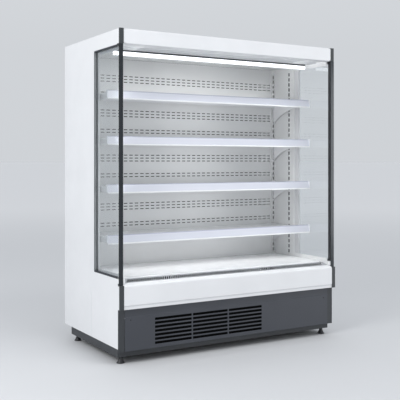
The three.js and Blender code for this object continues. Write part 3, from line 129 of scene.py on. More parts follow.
# %% [markdown]
# ## Patterns, and what they change
# No real surface has one colour and one gloss all over. Image textures could show that, but they repeat
# and every piece would need unwrapping. Here each finish is noise in object space whose grain is given in
# millimetres, so a pattern can be checked against a ruler and runs on over every edge. The pattern then
# changes the colour, the roughness or the relief.

# %% Grain in millimetres
def grain(finish, size_mm, detail=2.0, stretch=(1, 1, 1)):
    """Noise whose grains are about size_mm across, longer along an axis whose stretch is above 1."""
    scale = [1 / (size_mm * MM * s) for s in stretch]
    mapping = add_node(finish.tree, "ShaderNodeMapping", {"Vector": finish.place, "Scale": Vector(scale)})
    return add_node(finish.tree, "ShaderNodeTexNoise",
                    {"Vector": mapping.outputs[0], "Scale": 1.0, "Detail": detail}).outputs[0]


# Noise seldom leaves this part of its range, so this part is spread over the whole change.
USUAL_NOISE = {"From Min": 0.3, "From Max": 0.7}
# The Mix node has sockets for every kind of data, and these are the ones for colours.
FIRST_COLOUR, SECOND_COLOUR, MIXED_COLOUR = 6, 7, 2


def drive(finish, pattern, colours=None, roughness=None, relief_mm=None):
    """Lets a pattern change a surface between two colours, between two roughnesses or in height."""
    tree, sockets = finish.tree, finish.principled.inputs
    if colours:
        share = add_node(tree, "ShaderNodeMapRange", {"Value": pattern, **USUAL_NOISE})
        first, second = (Vector(linear(colour)) for colour in colours)
        mix = add_node(tree, "ShaderNodeMix", {
            "Factor": share.outputs[0], FIRST_COLOUR: first, SECOND_COLOUR: second}, data_type="RGBA")
        tree.links.new(mix.outputs[MIXED_COLOUR], sockets["Base Color"])
    if roughness:
        level = add_node(tree, "ShaderNodeMapRange",
                         {"Value": pattern, **USUAL_NOISE, "To Min": roughness[0], "To Max": roughness[1]})
        tree.links.new(level.outputs[0], sockets["Roughness"])
    if relief_mm:
        bump = add_node(tree, "ShaderNodeBump", {"Height": pattern, "Distance": relief_mm * MM})
        tree.links.new(bump.outputs[0], sockets["Normal"])


print("a 4 mm grain has a noise scale of", round(1 / (4 * MM)))

# %% [markdown]
# ## Powder-coated steel
# Nearly all the sheet metal is steel sprayed with polyester powder and baked. The powder melts into a
# film with a faint orange peel about 3 mm across, whose thickness wanders over a hand's breadth, and
# wiping leaves its gloss uneven. Each shade could be its own tree, but the process is the same and only
# the pigment differs, so one function makes them all. The peel is drawn at 4 mm so that it shows.

# %% Powder coats
CLOUD_MM = 240
SMUDGE_MM = 60


def powder_coat(name, colour, shade, roughness, peel_mm=4.0, peel_depth=0.035):
    coat = start_finish(name, {"IOR": 1.5})
    drive(coat, grain(coat, CLOUD_MM, 3.0), colours=(colour, shade))
    drive(coat, grain(coat, SMUDGE_MM, 4.0), roughness=(roughness - 0.04, roughness + 0.05))
    drive(coat, grain(coat, peel_mm, 1.0), relief_mm=peel_depth)
    return coat.material


FINE_PEEL = 1.6   # textured powders have a finer grain than smooth ones

# Satin, so large outer faces stay calm and their highlights have soft edges.
white_coat = powder_coat("white_powder_coated_steel", "#dfe0e2", "#dbdcde", 0.38)
# A lighter and flatter white, over which the lamp's light spreads without a hot spot.
liner_coat = powder_coat("white_powder_coated_liner", "#ebecec", "#e7e8e8", 0.42)
# Glossier, to wipe clean: the front edges of the shelves catch the lamp.
gloss_coat = powder_coat("gloss_white_powder_coat", "#f4f5f6", "#f0f1f3", 0.2, peel_depth=0.02)
# A cool slate whose fine texture hides scuffs near the floor.
kick_coat = powder_coat("slate_powder_coated_kick_panel", "#373a41", "#3c3f46", 0.44, FINE_PEEL, 0.05)
# The deck is wiped every day, and mirrors the lamp as one broad soft streak.
deck_coat = powder_coat("wiped_gloss_white_powder_coat", "#f1f2f3", "#ecedef", 0.13, peel_depth=0.012)
# Grey bars whose grey is painted shade, halfway between the white deck and the dark well under them.
grille_painted_shade_grey = powder_coat("grey_painted_shade_grille", "#a7a9ad", "#9fa1a5", 0.4)
# Nearly black and rough, so the base falls back into its own shadow.
base_coat = powder_coat("dark_powder_coated_base", "#2e3135", "#33363a", 0.5, FINE_PEEL, 0.06)
# Painted shade: black with hardly any gloss, for hollows that no lamp reaches, so that each reads as a dark
# mark.
painted_shade_black = powder_coat("black_painted_shade", "#101214", "#16181b", 0.7, FINE_PEEL, 0.05)
print("powder coats", white_coat.name, liner_coat.name, gloss_coat.name, kick_coat.name, base_coat.name)

# %% [markdown]
# ## Trims
# The front uprights are extruded aluminium, anodised dark: the die leaves fine lines along the length
# and the colour is in the metal's own skin, so it stays metallic under a thin clear seal. The corner
# caps are moulded ABS with a spark grain. A plain dark colour could stand for both, but only the lines
# and the grain tell metal from plastic in a raking light. Both are drawn coarser than they are, about
# 1 mm instead of 0.2 mm, because otherwise they wouldn't show.

# %% Anodised aluminium, moulded plastic and rubber
DIE_LINE_MM = 0.9
SPARK_GRAIN_MM = 1.4
HANDLING_MM = 45
LINES_UP = (1, 1, 40)
LINES_ACROSS = (40, 1, 1)


def anodised(name, colour, shade, roughness, along=LINES_UP):
    metal = start_finish(name, {"Metallic": 0.75, "Coat Weight": 0.3, "Coat Roughness": 0.12})
    drive(metal, grain(metal, DIE_LINE_MM, 2.0, along), colours=(colour, shade),
          roughness=(roughness - 0.05, roughness + 0.07), relief_mm=0.01)
    return metal.material


def moulded(name, colour, shade, roughness, grain_mm=SPARK_GRAIN_MM, depth=0.05, ior=1.54):
    plastic = start_finish(name, {"IOR": ior})
    drive(plastic, grain(plastic, grain_mm), colours=(colour, shade), relief_mm=depth)
    drive(plastic, grain(plastic, HANDLING_MM, 3.0), roughness=(roughness - 0.05, roughness + 0.06))
    return plastic.material


# Dark metal with long soft streaks of light down the uprights.
dark_anodised = anodised("dark_anodised_aluminium", "#2a2d31", "#313539", 0.3)
# The lamp's profile lies along the cabinet, and so do its lines.
lamp_anodised = anodised("grey_anodised_lamp_profile", "#4e5154", "#57595c", 0.36, LINES_ACROSS)
# Pale metal, which the eye takes for the thickness of the frame round a pane. Its grey is partly painted
# shade in the reveal.
flank_metal_and_shade = anodised("satin_aluminium_and_painted_shade", "#a2a5a7", "#acafb1", 0.34)
# The caps are as dark as the uprights but dull, so the joints between them show.
dark_abs = moulded("spark_grained_dark_abs", "#2b2f32", "#313538", 0.42)
# Tough black plastic for feet, wheels and gaskets, without a clear highlight.
black_abs = moulded("black_moulded_nylon", "#1b1c20", "#232428", 0.5)
# Rubber is the dullest of the dark trims, with the finest skin. On the pane frames its dark lip is partly
# painted shade in the reveal.
lip_rubber_and_shade = moulded("black_rubber_lip_and_painted_shade", "#2c3034", "#343840", 0.62, 0.8, 0.03, 1.52)
# Clean white plastic, a little bluer than the steel beside it.
white_abs = moulded("white_moulded_abs", "#eceef2", "#e6e8ee", 0.36)
# Waxy and faintly grey, so that the walls of the cells show against the fascia.
outlet_plastic = moulded("white_polypropylene_honeycomb", "#e2e4e5", "#dadcde", 0.5, 1.0, 0.02, 1.49)
print("trims", dark_anodised.name, dark_abs.name, lip_rubber_and_shade.name)

# %% [markdown]
# ## Glass and clear plastic
# The end panes are 8 mm toughened glass, almost colourless to look through. The price rails are clear
# PVC over a pale ticket. A rail could be a transparent strip over a second, printed one, but all that
# reaches the eye is a faint lilac under a glossy skin, with a darker band of painted shade along the top,
# so a coated plastic is enough. The lamp's diffuser is opal acrylic with the light in it.

# %% Glass, rail plastic and light
WIPE_MM = 90
HAZE_MM, HAZE_STRETCH = 120, (6, 1, 1)
FROST_MM = 0.8


def clear_glass():
    """Colourless glass. Wiping leaves its surface very slightly uneven."""
    glass = start_finish(
        "toughened_glass", {"Base Color": linear("#f6f9fa"), "Transmission Weight": 1.0, "IOR": 1.5})
    drive(glass, grain(glass, WIPE_MM, 4.0), roughness=(0.0, 0.03))
    return glass.material


def rail_plastic(name, colour, shade):
    """A glossy skin over a haze that is drawn out along the strip, as an extrusion's is."""
    strip = start_finish(name, {"IOR": 1.53, "Coat Weight": 0.6, "Coat Roughness": 0.08})
    haze = grain(strip, HAZE_MM, 2.0, HAZE_STRETCH)
    drive(strip, haze, colours=(colour, shade), roughness=(0.16, 0.24))
    return strip.material


def opal_light():
    """Glows evenly, and its fine frost keeps it from looking like a hole in the picture."""
    acrylic = start_finish(
        "opal_acrylic_lit", {"Base Color": linear("#fbfdff"), "Roughness": 0.4,
                             "Emission Color": linear("#f8fbff"), "Emission Strength": 1.3})
    drive(acrylic, grain(acrylic, FROST_MM, 1.0), relief_mm=0.02)
    return acrylic.material


pane_glass = clear_glass()
rail_clear = rail_plastic("clear_pvc_over_ticket", "#d8dae3", "#d2d5df")
# Painted shade: a darker lilac band along the top of each rail.
rail_top_shade = rail_plastic("clear_pvc_painted_top_shade", "#b3b5c6", "#aaacbf")
opal = opal_light()
print("clear finishes", pane_glass.name, rail_clear.name, opal.name)

# %% [markdown]
# ## Metals left bare
# Hidden sheets are hot-dip galvanised steel, whose zinc freezes into spangles about 10 mm across. Noise
# would only cloud them, so Voronoi cells give each spangle its own tone and gloss. The coils have
# aluminium fins on copper tube: bare on the cold coil, black epoxy on the condenser against the salt of
# washed floors, and that black is also painted shade behind the kick slots. The compressor's can is stoved
# black enamel.

# %% Galvanised steel, fins, copper and enamel
SPANGLE_MM = 10
DRAWN_GRAIN_MM = 3


def galvanised():
    sheet = start_finish("hot_dip_galvanised_steel", {"Metallic": 1.0})
    spangle = add_node(sheet.tree, "ShaderNodeTexVoronoi",
                       {"Vector": sheet.place, "Scale": 1 / (SPANGLE_MM * MM)})
    cell = add_node(sheet.tree, "ShaderNodeSeparateColor", {"Color": spangle.outputs["Color"]})
    drive(sheet, cell.outputs[0], colours=("#9b9fa2", "#b6babd"), roughness=(0.32, 0.5))
    return sheet.material


def bare_metal(name, colour, shade, roughness):
    metal = start_finish(name, {"Metallic": 1.0})
    drive(metal, grain(metal, DRAWN_GRAIN_MM, 3.0), colours=(colour, shade),
          roughness=(roughness - 0.06, roughness + 0.08))
    return metal.material


zinc = galvanised()
# Rolled foil: pale, with a broad sheen that packs of thin fins break up.
fin_metal = bare_metal("mill_finish_aluminium_fins", "#b4b9bd", "#c3c8cb", 0.34)
# Tube drawn through a die: warm and fairly bright, the only colour in the machine.
copper = bare_metal("drawn_copper_tube", "#b0694a", "#c07c58", 0.3)
# Plated screws are the brightest specks on the roof.
bright_zinc = bare_metal("zinc_plated_screw", "#b9bcbe", "#cfd2d4", 0.26)
# A thick glossy film, so the can shows one clear highlight.
enamel = powder_coat("black_stoving_enamel", "#17181b", "#1d1e21", 0.24, peel_depth=0.02)
# A thin dull film that leaves the fins' edges sharp. Its near-black is also painted shade behind the kick
# slots.
fins_black_and_shade = powder_coat("black_epoxy_fins_and_painted_shade", "#121316", "#191a1e", 0.5, FINE_PEEL, 0.02)
print("metals", zinc.name, fin_metal.name, copper.name, enamel.name)

# %% [markdown]
# ## From a mesh to a finished piece
# A piece of the fridge belongs to one of its moving bodies and may stand for pieces of the measured
# model. Modifiers could be left on it, but the mesh that is kept should be the mesh that is seen, so they
# are applied first.

# %% Pieces
def link_mesh(name, mesh):
    piece = bpy.data.objects.new(name, mesh)
    bpy.context.scene.collection.objects.link(piece)
    return piece


def frozen(piece):
    """The piece with its modifiers applied and removed."""
    bpy.context.view_layer.update()
    graph = bpy.context.evaluated_depsgraph_get()
    mesh = bpy.data.meshes.new_from_object(piece.evaluated_get(graph), preserve_all_data_layers=True,
                                           depsgraph=graph)
    piece.modifiers.clear()
    piece.data = mesh
    return piece


def finished(piece, body, slot, *nodes):
    """The piece rides on its body and stands for its CAD nodes; the slot is not used."""
    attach(piece, body)
    if nodes:
        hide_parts(*nodes)
    return piece


print("finish slots", sorted(set(SLOT_OF.values())))

# %% [markdown]
# ## Easing the edges
# No sheet or moulding has a perfectly sharp edge, and the thin highlight that runs along a bend is what
# tells the eye how big and how heavy a thing is. A shader can fake it, but a silhouette can't be faked.
# Each measured piece is copied, its loose triangles are merged, flat areas become single faces, and a
# Bevel of a fraction of a millimetre rounds the corners. Weighted normals keep the large faces flat.

# %% A copy of a measured piece with eased edges
WELD_MM = 0.02
FLAT_DEGREES = 0.4
SHARP_DEGREES = 27
BEVEL_DEGREES = 32


def shaded(piece, radius_mm=0.0, segments=2, sharp=SHARP_DEGREES):
    """Optional bevel, then smooth shading with flat faces kept flat."""
    mesh = piece.data
    mesh.shade_smooth()
    mesh.set_sharp_from_angle(angle=math.radians(sharp))
    if radius_mm:
        bevel = piece.modifiers.new("eased_edges", "BEVEL")
        bevel.width = radius_mm * MM
        bevel.segments = segments
        bevel.limit_method = "ANGLE"
        bevel.angle_limit = math.radians(BEVEL_DEGREES)
    weighted = piece.modifiers.new("flat_faces", "WEIGHTED_NORMAL")
    weighted.keep_sharp = not radius_mm
    return frozen(piece)


def stand_in(piece, node, radius_mm=0.0, segments=2):
    """Shades the piece, which then stands for a CAD node on that node's body."""
    shaded(piece, radius_mm, segments)
    return finished(piece, BODY_OF[node], SLOT_OF[node], node)


def merged_copy(node):
    """The node's mesh with its loose triangles joined into flat faces."""
    mesh = NODES[node].data.copy()
    work = bmesh.new()
    work.from_mesh(mesh)
    bmesh.ops.remove_doubles(work, verts=work.verts, dist=WELD_MM * MM)
    bmesh.ops.dissolve_limit(work, angle_limit=math.radians(FLAT_DEGREES), verts=work.verts, edges=work.edges)
    work.to_mesh(mesh)
    work.free()
    return mesh


def eased(node, material, radius_mm=0.6, segments=2, also=(), choose=None):
    """The finished copy. Choose gives each face the number of its material in (material, *also)."""
    mesh = merged_copy(node)
    mesh.materials.clear()
    for finish in (material, *also):
        mesh.materials.append(finish)
    if choose:
        for face in mesh.polygons:
            face.material_index = choose(face.center / MM, face.normal)
    return stand_in(link_mesh(f"{node}_finished", mesh), node, radius_mm, segments)


def both(name):
    return f"{name}_left", f"{name}_right"


print("edges sharper than", BEVEL_DEGREES, "degrees are eased")

# %% [markdown]
# ## Folded skins
# The roof, the canopy and the bumper are folded from 1 mm sheet, and a press brake leaves a bend of
# about 1 mm. The bumper's bend is the one nearest to the eye and gets a third segment. They could be
# drawn anew as profiles, but the measured pieces already have the folds.

# %% Roof, canopy, bumper and ceiling
BEND_MM = 1.0

for node in ("roof_panel", "canopy_fascia"):
    eased(node, white_coat, BEND_MM)
eased("front_panel", white_coat, 1.2, 3)
eased("ceiling_panel", liner_coat)

# %% [markdown]
# ## Front uprights, corner caps and panes
# A dark extruded upright closes each pane at the front, with a black gasket on the flank that faces the
# bay, and moulded caps cover the corners of the canopy and the bumper. The gasket could be a strip of
# its own. It is flush with the metal, so it is painted on the faces that point inwards.

# %% Uprights, caps and panes
def upright_finish(centre, normal):
    """The flank that faces the bay carries a black gasket."""
    return 1 if normal.x * math.copysign(1, centre.x) < -0.9 else 0


for node in both("front_upright"):
    upright = eased(node, dark_anodised, 0.8, 3, (black_abs,), upright_finish)
for node in (*both("canopy_end_cap"), *both("bumper_end_cap")):
    eased(node, dark_abs, 0.8)
for node in both("side_glass"):
    eased(node, pane_glass, 0.5, 1)
print("gasket faces", sum(face.material_index for face in upright.data.polygons))

# %% [markdown]
# ## Base, deck, lamp, feet and shelves
# These keep their measured shapes. What differs is the ease of their edges: a laser-cut kick panel is
# crisper than a welded base frame, and the shelf trays are folded tighter than the skins. A single
# radius for all of them would be simpler and would make thin sheet look thick.

# %% Pieces that keep their measured shape
eased("base_frame", base_coat, 0.6)
eased("kick_panel", kick_coat, 0.4)
eased("deck_tray", deck_coat, 0.6)
eased("light_profile", lamp_anodised, 0.3)
eased("light_diffuser", opal, 0.8)
for node in (*both("foot_front"), *both("foot_rear")):
    eased(node, black_abs, 0.5)
for shelf in range(1, 5):
    eased(f"shelf_{shelf}", gloss_coat, 0.5)
    for node in both(f"shelf_bracket_{shelf}"):
        eased(node, gloss_coat, 0.5)

# %% [markdown]
# ## Side panels, rear wall and tub
# The side panels are steel skins over foam. On the inside each has a slotted strip with a hollow channel
# behind it, and the air duct runs down behind the back. No lamp reaches those hollows, and their sheet
# gets painted shade in black, so the slots and the perforations read as dark marks. The hollows could be
# separate linings, but picking the finish face by face keeps each panel one piece of metal.

# %% Pieces with a dark hollow side
STRIP_FACE = 777.5
CHANNEL_FRONT, CHANNEL_BACK = -27.5, 31.5
CHANNEL_BOTTOM, CHANNEL_TOP = 530, 1895
CHANNEL_OUTSIDE = 790
INNER_SKIN = 784.0
WELL_BACK = -300.0
WELL_BOTTOM, WELL_TOP = 386, 466
WELL_SIDE = 779


def panel_finish(centre, normal):
    """White outside, painted shade in black in the channel, and the liner's white inside."""
    across = CHANNEL_FRONT < centre.y < CHANNEL_BACK and STRIP_FACE + 1 < abs(centre.x) < CHANNEL_OUTSIDE
    if across and CHANNEL_BOTTOM < centre.z < CHANNEL_TOP:
        return 1
    return 2 if abs(centre.x) < INNER_SKIN else 0


def rear_wall_finish(centre, normal):
    """Painted shade in black where the wall faces the duct."""
    return 1 if normal.y < -0.9 else 0


def tub_finish(centre, normal):
    """Painted shade in black in the well under the return grille, and on its floor."""
    in_well = centre.y < WELL_BACK and WELL_BOTTOM < centre.z < WELL_TOP and abs(centre.x) < WELL_SIDE
    inward = normal.y > 0.5 or normal.z > 0.5
    well_floor = abs(centre.z - WELL_BOTTOM + 1) < 1 and normal.z > 0.5
    return 1 if in_well and inward or well_floor else 0


for node in both("side_panel"):
    eased(node, white_coat, 0.8, 2, (painted_shade_black, liner_coat), panel_finish)
eased("rear_wall", white_coat, BEND_MM, 2, (painted_shade_black,), rear_wall_finish)
tub = eased("insulated_tub", liner_coat, 0.6, 2, (painted_shade_black,), tub_finish)
print("dark faces of the tub", sum(face.material_index for face in tub.data.polygons))

# %% [markdown]
# ## Frames of the end panes
# One frame does three jobs: a lip outside, a face that the pane is pressed against, and a white bead
# that hides the edge from inside. Seen past the upright, the lip is a dark line round the opening, and
# its flank that faces the front is pale metal; both colours are partly painted shade in the reveal. Three
# separate profiles would need joints that don't show, so the one measured frame gets a finish for each place.

# %% Glass frames in three finishes
PANE_INNER = 799.0
PANE_OUTER = 807.0


def frame_finish(centre, normal):
    """0 is the dark lip and 1 the pale metal, both partly painted shade in the reveal, and 2 the white bead.
    """
    if abs(centre.x) > PANE_OUTER:
        return 1 if normal.y < -0.9 else 0
    outward = normal.x * math.copysign(1, centre.x)
    return 1 if abs(centre.x) > PANE_INNER - 1 and outward > -0.5 else 2


for node in both("glass_frame"):
    pane_frame = eased(node, lip_rubber_and_shade, 0.3, 2, (flank_metal_and_shade, white_coat), frame_finish)
finishes = [face.material_index for face in pane_frame.data.polygons]
print("frame faces: lip", finishes.count(0), "metal", finishes.count(1), "bead", finishes.count(2))

# %% [markdown]
# ## Head trims
# A thin white strip is clipped along the head of each opening, inside the cabinet, and hides the joint
# between the pane's frame and the ceiling. It is 1.5 mm thick, which is too thin for the measured model.
# A strip with square ends is all that shows, so it is a box. The same two helpers serve for the folds
# and the black strips of painted shade of later pieces.

# %% Boxes in millimetres, and the head trims
TRIM = ((784.6, -400, 1880), (786.1, -60, 1905))


def box_mm(work, low, high):
    """A closed box between two corners in mm."""
    middle = [(a + b) / 2 * MM for a, b in zip(low, high)]
    size = [(b - a) * MM for a, b in zip(low, high)]
    bmesh.ops.create_cube(work, size=1.0, matrix=Matrix.Translation(middle) @ Matrix.Diagonal((*size, 1)))


def with_boxes(piece, *boxes):
    """Boxes given in mm, joined to the piece."""
    work = bmesh.new()
    work.from_mesh(piece.data)
    for low, high in boxes:
        box_mm(work, low, high)
    work.to_mesh(piece.data)
    work.free()
    return piece


def plain_box(name, material, low, high):
    """A piece that is one box."""
    piece = link_mesh(name, bpy.data.meshes.new(name))
    piece.data.materials.append(material)
    return with_boxes(piece, (low, high))


def head_trim(side, name):
    low, high = TRIM
    ends = sorted((side * low[0], side * high[0]))
    strip = plain_box(f"head_trim_{name}", white_abs, (ends[0], *low[1:]), (ends[1], *high[1:]))
    finished(strip, "cabinet", "gloss_white")
    return strip.name


print("trims", head_trim(-1, "left"), head_trim(1, "right"))

# %% [markdown]
# ## Price rails
# A rail is a clear lens clipped over a paper ticket, with a darker band of painted shade along its top and
# a white moulded cheek at each end. The band could be a strip of its own, but one cut along the measured
# strip gives it its own faces.

# %% Price rails
SHADE_BAND_HEIGHT = 6.0
CHEEK_INNER = 788.9


def cut_at_height(mesh, height):
    """Splits the mesh's faces where they cross a height in metres."""
    work = bmesh.new()
    work.from_mesh(mesh)
    bmesh.ops.bisect_plane(work, geom=work.verts[:] + work.edges[:] + work.faces[:], dist=1e-6,
                           plane_co=Vector((0, 0, height)), plane_no=(0, 0, 1))
    work.to_mesh(mesh)
    work.free()


def price_rail(shelf):
    node = f"price_rail_{shelf}"
    mesh = merged_copy(node)
    # Faces above this height take the darker lilac of the painted shade along the top.
    bead = max(v.co.z for v in mesh.vertices) - SHADE_BAND_HEIGHT * MM
    cut_at_height(mesh, bead)
    mesh.materials.clear()
    for finish in (rail_clear, rail_top_shade, white_abs):
        mesh.materials.append(finish)
    for face in mesh.polygons:
        if abs(face.center.x) > CHEEK_INNER * MM:
            face.material_index = 2
        elif face.center.z > bead:
            face.material_index = 1
    stand_in(link_mesh(f"{node}_finished", mesh), node, 0.4)
    return len(mesh.polygons)


print("rail faces", [price_rail(shelf) for shelf in range(1, 5)])

# %% [markdown]
# ## Repeating things with Geometry Nodes
# A turret press punches the same hole hundreds of times, and modelling should do no more work than the
# press. Cutting holes one by one would be slow, and a hole that is only painted on has no edge. A tree
# takes a mesh of loose points instead, one for each thing that repeats, and grows the thing on each of
# them. The result is turned into a plain mesh, so the export sees ordinary metal.

# %% Trees and the meshes they grow
def start_tree(name, **sizes):
    """A geometry tree with a named input for each size and one for the material."""
    tree = bpy.data.node_groups.new(name, "GeometryNodeTree")
    face = tree.interface
    face.new_socket("Geometry", in_out="INPUT", socket_type="NodeSocketGeometry")
    face.new_socket("Geometry", in_out="OUTPUT", socket_type="NodeSocketGeometry")
    for label, default in sizes.items():
        face.new_socket(label, in_out="INPUT", socket_type="NodeSocketFloat").default_value = default
    face.new_socket("material", in_out="INPUT", socket_type="NodeSocketMaterial")
    return tree, add_node(tree, "NodeGroupInput").outputs


def on_points(tree, given, thing, **turned):
    """One copy of what the node makes on each of the given points."""
    inputs = {"Points": given["Geometry"], "Instance": thing.outputs[0], **turned}
    return add_node(tree, "GeometryNodeInstanceOnPoints", inputs).outputs[0]


def end_tree(tree, given, geometry):
    """Every tree ends in real faces with a material."""
    real = add_node(tree, "GeometryNodeRealizeInstances", {"Geometry": geometry})
    painted = add_node(tree, "GeometryNodeSetMaterial",
                       {"Geometry": real.outputs[0], "Material": given["material"]})
    add_node(tree, "NodeGroupOutput", {0: painted.outputs[0]})
    return tree


def grown(name, points, tree, place=Matrix.Identity(4), **values):
    """A plain mesh that the tree grows on loose points, put in its place."""
    seed = bpy.data.meshes.new(name)
    seed.from_pydata([Vector(point) for point in points], [], [])
    piece = link_mesh(name, seed)
    modifier = piece.modifiers.new("grow", "NODES")
    modifier.node_group = tree
    for item in tree.interface.items_tree:
        if item.in_out == "INPUT" and item.name in values:
            modifier[item.identifier] = values[item.name]
    frozen(piece)
    piece.data.transform(place)
    return piece


def spaced(count, pitch):
    """Places in mm, a pitch apart and centred on zero."""
    return [(i - (count - 1) / 2) * pitch for i in range(count)]


print("three places 10 mm apart", spaced(3, 10))

# %% [markdown]
# ## A sheet full of holes
# The hole's outline is instanced on the points and the sheet's own outline is laid round them. Fill
# Curve then leaves the holes open, and an extrusion gives the sheet its gauge. A boolean could punch the
# same holes, but it is slow and leaves ragged faces. The bottom is a flipped copy of the flat sheet, and
# merging by distance closes the shell.

# %% The tree of a punched sheet
def sheet_of_holes(name, hexagonal):
    """Tree of a flat sheet in X and Y with a hole at each point; its gauge rises along Z."""
    tree, given = start_tree(name, width=1.0, height=0.1, gauge=0.001, hole_length=0.02, hole_height=0.005,
                             corner=0.001, lean=0.0)
    edge = add_node(tree, "GeometryNodeCurvePrimitiveQuadrilateral",
                    {"Width": given["width"], "Height": given["height"]})
    if hexagonal:
        hole = add_node(tree, "GeometryNodeCurvePrimitiveCircle",
                        {"Resolution": 6, "Radius": given["hole_length"]})
    else:
        square = add_node(tree, "GeometryNodeCurvePrimitiveQuadrilateral",
                          {"Width": given["hole_length"], "Height": given["hole_height"]})
        hole = add_node(tree, "GeometryNodeFilletCurve",
                        {"Curve": square.outputs[0], "Radius": given["corner"], "Limit Radius": True})
    turned = add_node(tree, "ShaderNodeCombineXYZ", {"Z": given["lean"]})
    copies = on_points(tree, given, hole, Rotation=turned.outputs[0])
    holes = add_node(tree, "GeometryNodeRealizeInstances", {"Geometry": copies})
    outlines = add_node(tree, "GeometryNodeJoinGeometry", {"Geometry": (edge.outputs[0], holes.outputs[0])})
    flat = add_node(tree, "GeometryNodeFillCurve", {"Curve": outlines.outputs[0]})
    risen = add_node(tree, "GeometryNodeExtrudeMesh",
                     {"Mesh": flat.outputs[0], "Offset Scale": given["gauge"], "Individual": False})
    under = add_node(tree, "GeometryNodeFlipFaces", {"Mesh": flat.outputs[0]})
    closed = add_node(tree, "GeometryNodeJoinGeometry", {"Geometry": (risen.outputs[0], under.outputs[0])})
    sealed = add_node(tree, "GeometryNodeMergeByDistance",
                      {"Geometry": closed.outputs[0], "Distance": 1e-5})
    return end_tree(tree, given, sealed.outputs[0])


punched = sheet_of_holes("punched_sheet", False)
honeycomb = sheet_of_holes("honeycomb_sheet", True)
print("trees", [tree.name for tree in bpy.data.node_groups])

# %% [markdown]
# ## Duct panels
# Cold air enters each bay through rows of small slots punched in the back panels. The measured panels
# have fewer and longer slots, so the rows keep their measured heights and only the holes get finer. They
# could be bored as round holes, but the photograph shows short dashes. Each panel's long edges are
# folded back, and a fold is a plain box because nobody sees its bend.

# %% Duct panels with their real perforations
HOLE_PITCH = 41.5
HOLES_IN_A_ROW = 36
HOLE_SIZE = (27.5, 5.4)
HOLE_CORNER = 1.5
GAUGE = 1.5
FOLD = 12.0
EDGE_MARGIN = 5
FACE_UP = Matrix.Rotation(math.radians(90), 4, "X")


def box_of(node):
    corners = [v.co / MM for v in NODES[node].data.vertices]
    return [min(c[i] for c in corners) for i in range(3)], [max(c[i] for c in corners) for i in range(3)]


def row_heights(node):
    """Middles of the rows of slots, from the levels of the measured slots' edges."""
    low, high = box_of(node)
    on_face = [v.co / MM for v in NODES[node].data.vertices if abs(v.co.y / MM - low[1]) < 0.1]
    levels = sorted({round(point.z, 1) for point in on_face})
    edges = [z for z in levels if low[2] + EDGE_MARGIN < z < high[2] - EDGE_MARGIN]
    return [(a + b) / 2 for a, b in zip(edges[::2], edges[1::2])]


def punched_face(node, low, high, columns, hole, corner):
    """The node's front sheet, with a column of holes at each x from its middle."""
    middle = [(a + b) / 2 for a, b in zip(low, high)]
    holes = [(x * MM, (z - middle[2]) * MM, 0) for z in row_heights(node) for x in columns]
    place = Matrix.Translation((middle[0] * MM, (low[1] + GAUGE) * MM, middle[2] * MM)) @ FACE_UP
    return grown(f"{node}_punched", holes, punched, place, width=(high[0] - low[0]) * MM,
                 height=(high[2] - low[2]) * MM, gauge=GAUGE * MM, hole_length=hole[0] * MM,
                 hole_height=hole[1] * MM, corner=corner * MM, material=liner_coat)


def duct_panel(bay):
    node = f"duct_panel_{bay}"
    low, high = box_of(node)
    piece = punched_face(node, low, high, spaced(HOLES_IN_A_ROW, HOLE_PITCH), HOLE_SIZE, HOLE_CORNER)
    front, back = low[1] + GAUGE, low[1] + GAUGE + FOLD
    with_boxes(piece, ((low[0], front, low[2]), (high[0], back, low[2] + GAUGE)),
               ((low[0], front, high[2] - GAUGE), (high[0], back, high[2])))
    stand_in(piece, node)
    return len(row_heights(node)) * HOLES_IN_A_ROW


print("air holes", [duct_panel(bay) for bay in range(1, 5)])

# %% [markdown]
# ## Rear uprights
# Between the side walls and the back panels stand two folded channels, each with one column of slots in
# which the shelf brackets hook. The measured piece could be used as it is, but its slots have sharp
# corners, so its face is grown by the same tree as the panels. The two flanges are plain boxes in black
# painted shade, and a black strip of painted shade closes the channel from behind so that no light shows
# through.

# %% Slotted rear uprights
UPRIGHT_HOLE = (12.0, 23.0)
UPRIGHT_CORNER = 1.0
SHADE_STRIP_BACK = 6.0
SHADE_STRIP_THICK = 1.0
SHADE_STRIP_GAP = 0.2


def rear_upright(node):
    low, high = box_of(node)
    piece = punched_face(node, low, high, (0,), UPRIGHT_HOLE, UPRIGHT_CORNER)
    piece.data.materials.append(painted_shade_black)
    faces_of_sheet = len(piece.data.polygons)
    edge = low[1] + GAUGE
    with_boxes(piece, ((low[0], edge, low[2]), (low[0] + GAUGE, high[1], high[2])),
               ((high[0] - GAUGE, edge, low[2]), (high[0], high[1], high[2])))
    # The flanges inside the channel get painted shade in black.
    for flange_face in piece.data.polygons[faces_of_sheet:]:
        flange_face.material_index = 1
    stand_in(piece, node)
    # A black strip of painted shade closes the channel from behind.
    inset, behind = GAUGE + SHADE_STRIP_GAP, high[1] - SHADE_STRIP_BACK
    shade_strip = plain_box(f"{node}_tape", painted_shade_black, (low[0] + inset, behind, low[2]),
                     (high[0] - inset, behind + SHADE_STRIP_THICK, high[2]))
    finished(shade_strip, BODY_OF[node], "black_plastic")
    return len(row_heights(node))


print("upright slots", [rear_upright(node) for node in both("rear_upright")])

# %% [markdown]
# ## Return grille
# The air is drawn back in through a sloping comb of narrow slots along the front edge of the deck, at a
# pitch of 15 mm. In the photograph the bars stand upright, and on this slope only slots punched at an
# angle of about 30 degrees look so from there. The bars are a little narrower than the slots, which look
# down into the dark well.

# %% Return grille
GRILLE_PITCH = 15.0
GRILLE_HOLE = (8.4, 54.0)
GRILLE_CORNER = 2.0
GRILLE_GAUGE = 1.2
GRILLE_MARGIN = 22.0
GRILLE_LEAN = -30
GRILLE_FOOT = Vector((0, -422, 489))
GRILLE_RISE, GRILLE_RUN = 15, 60
GRILLE_GAP = 2


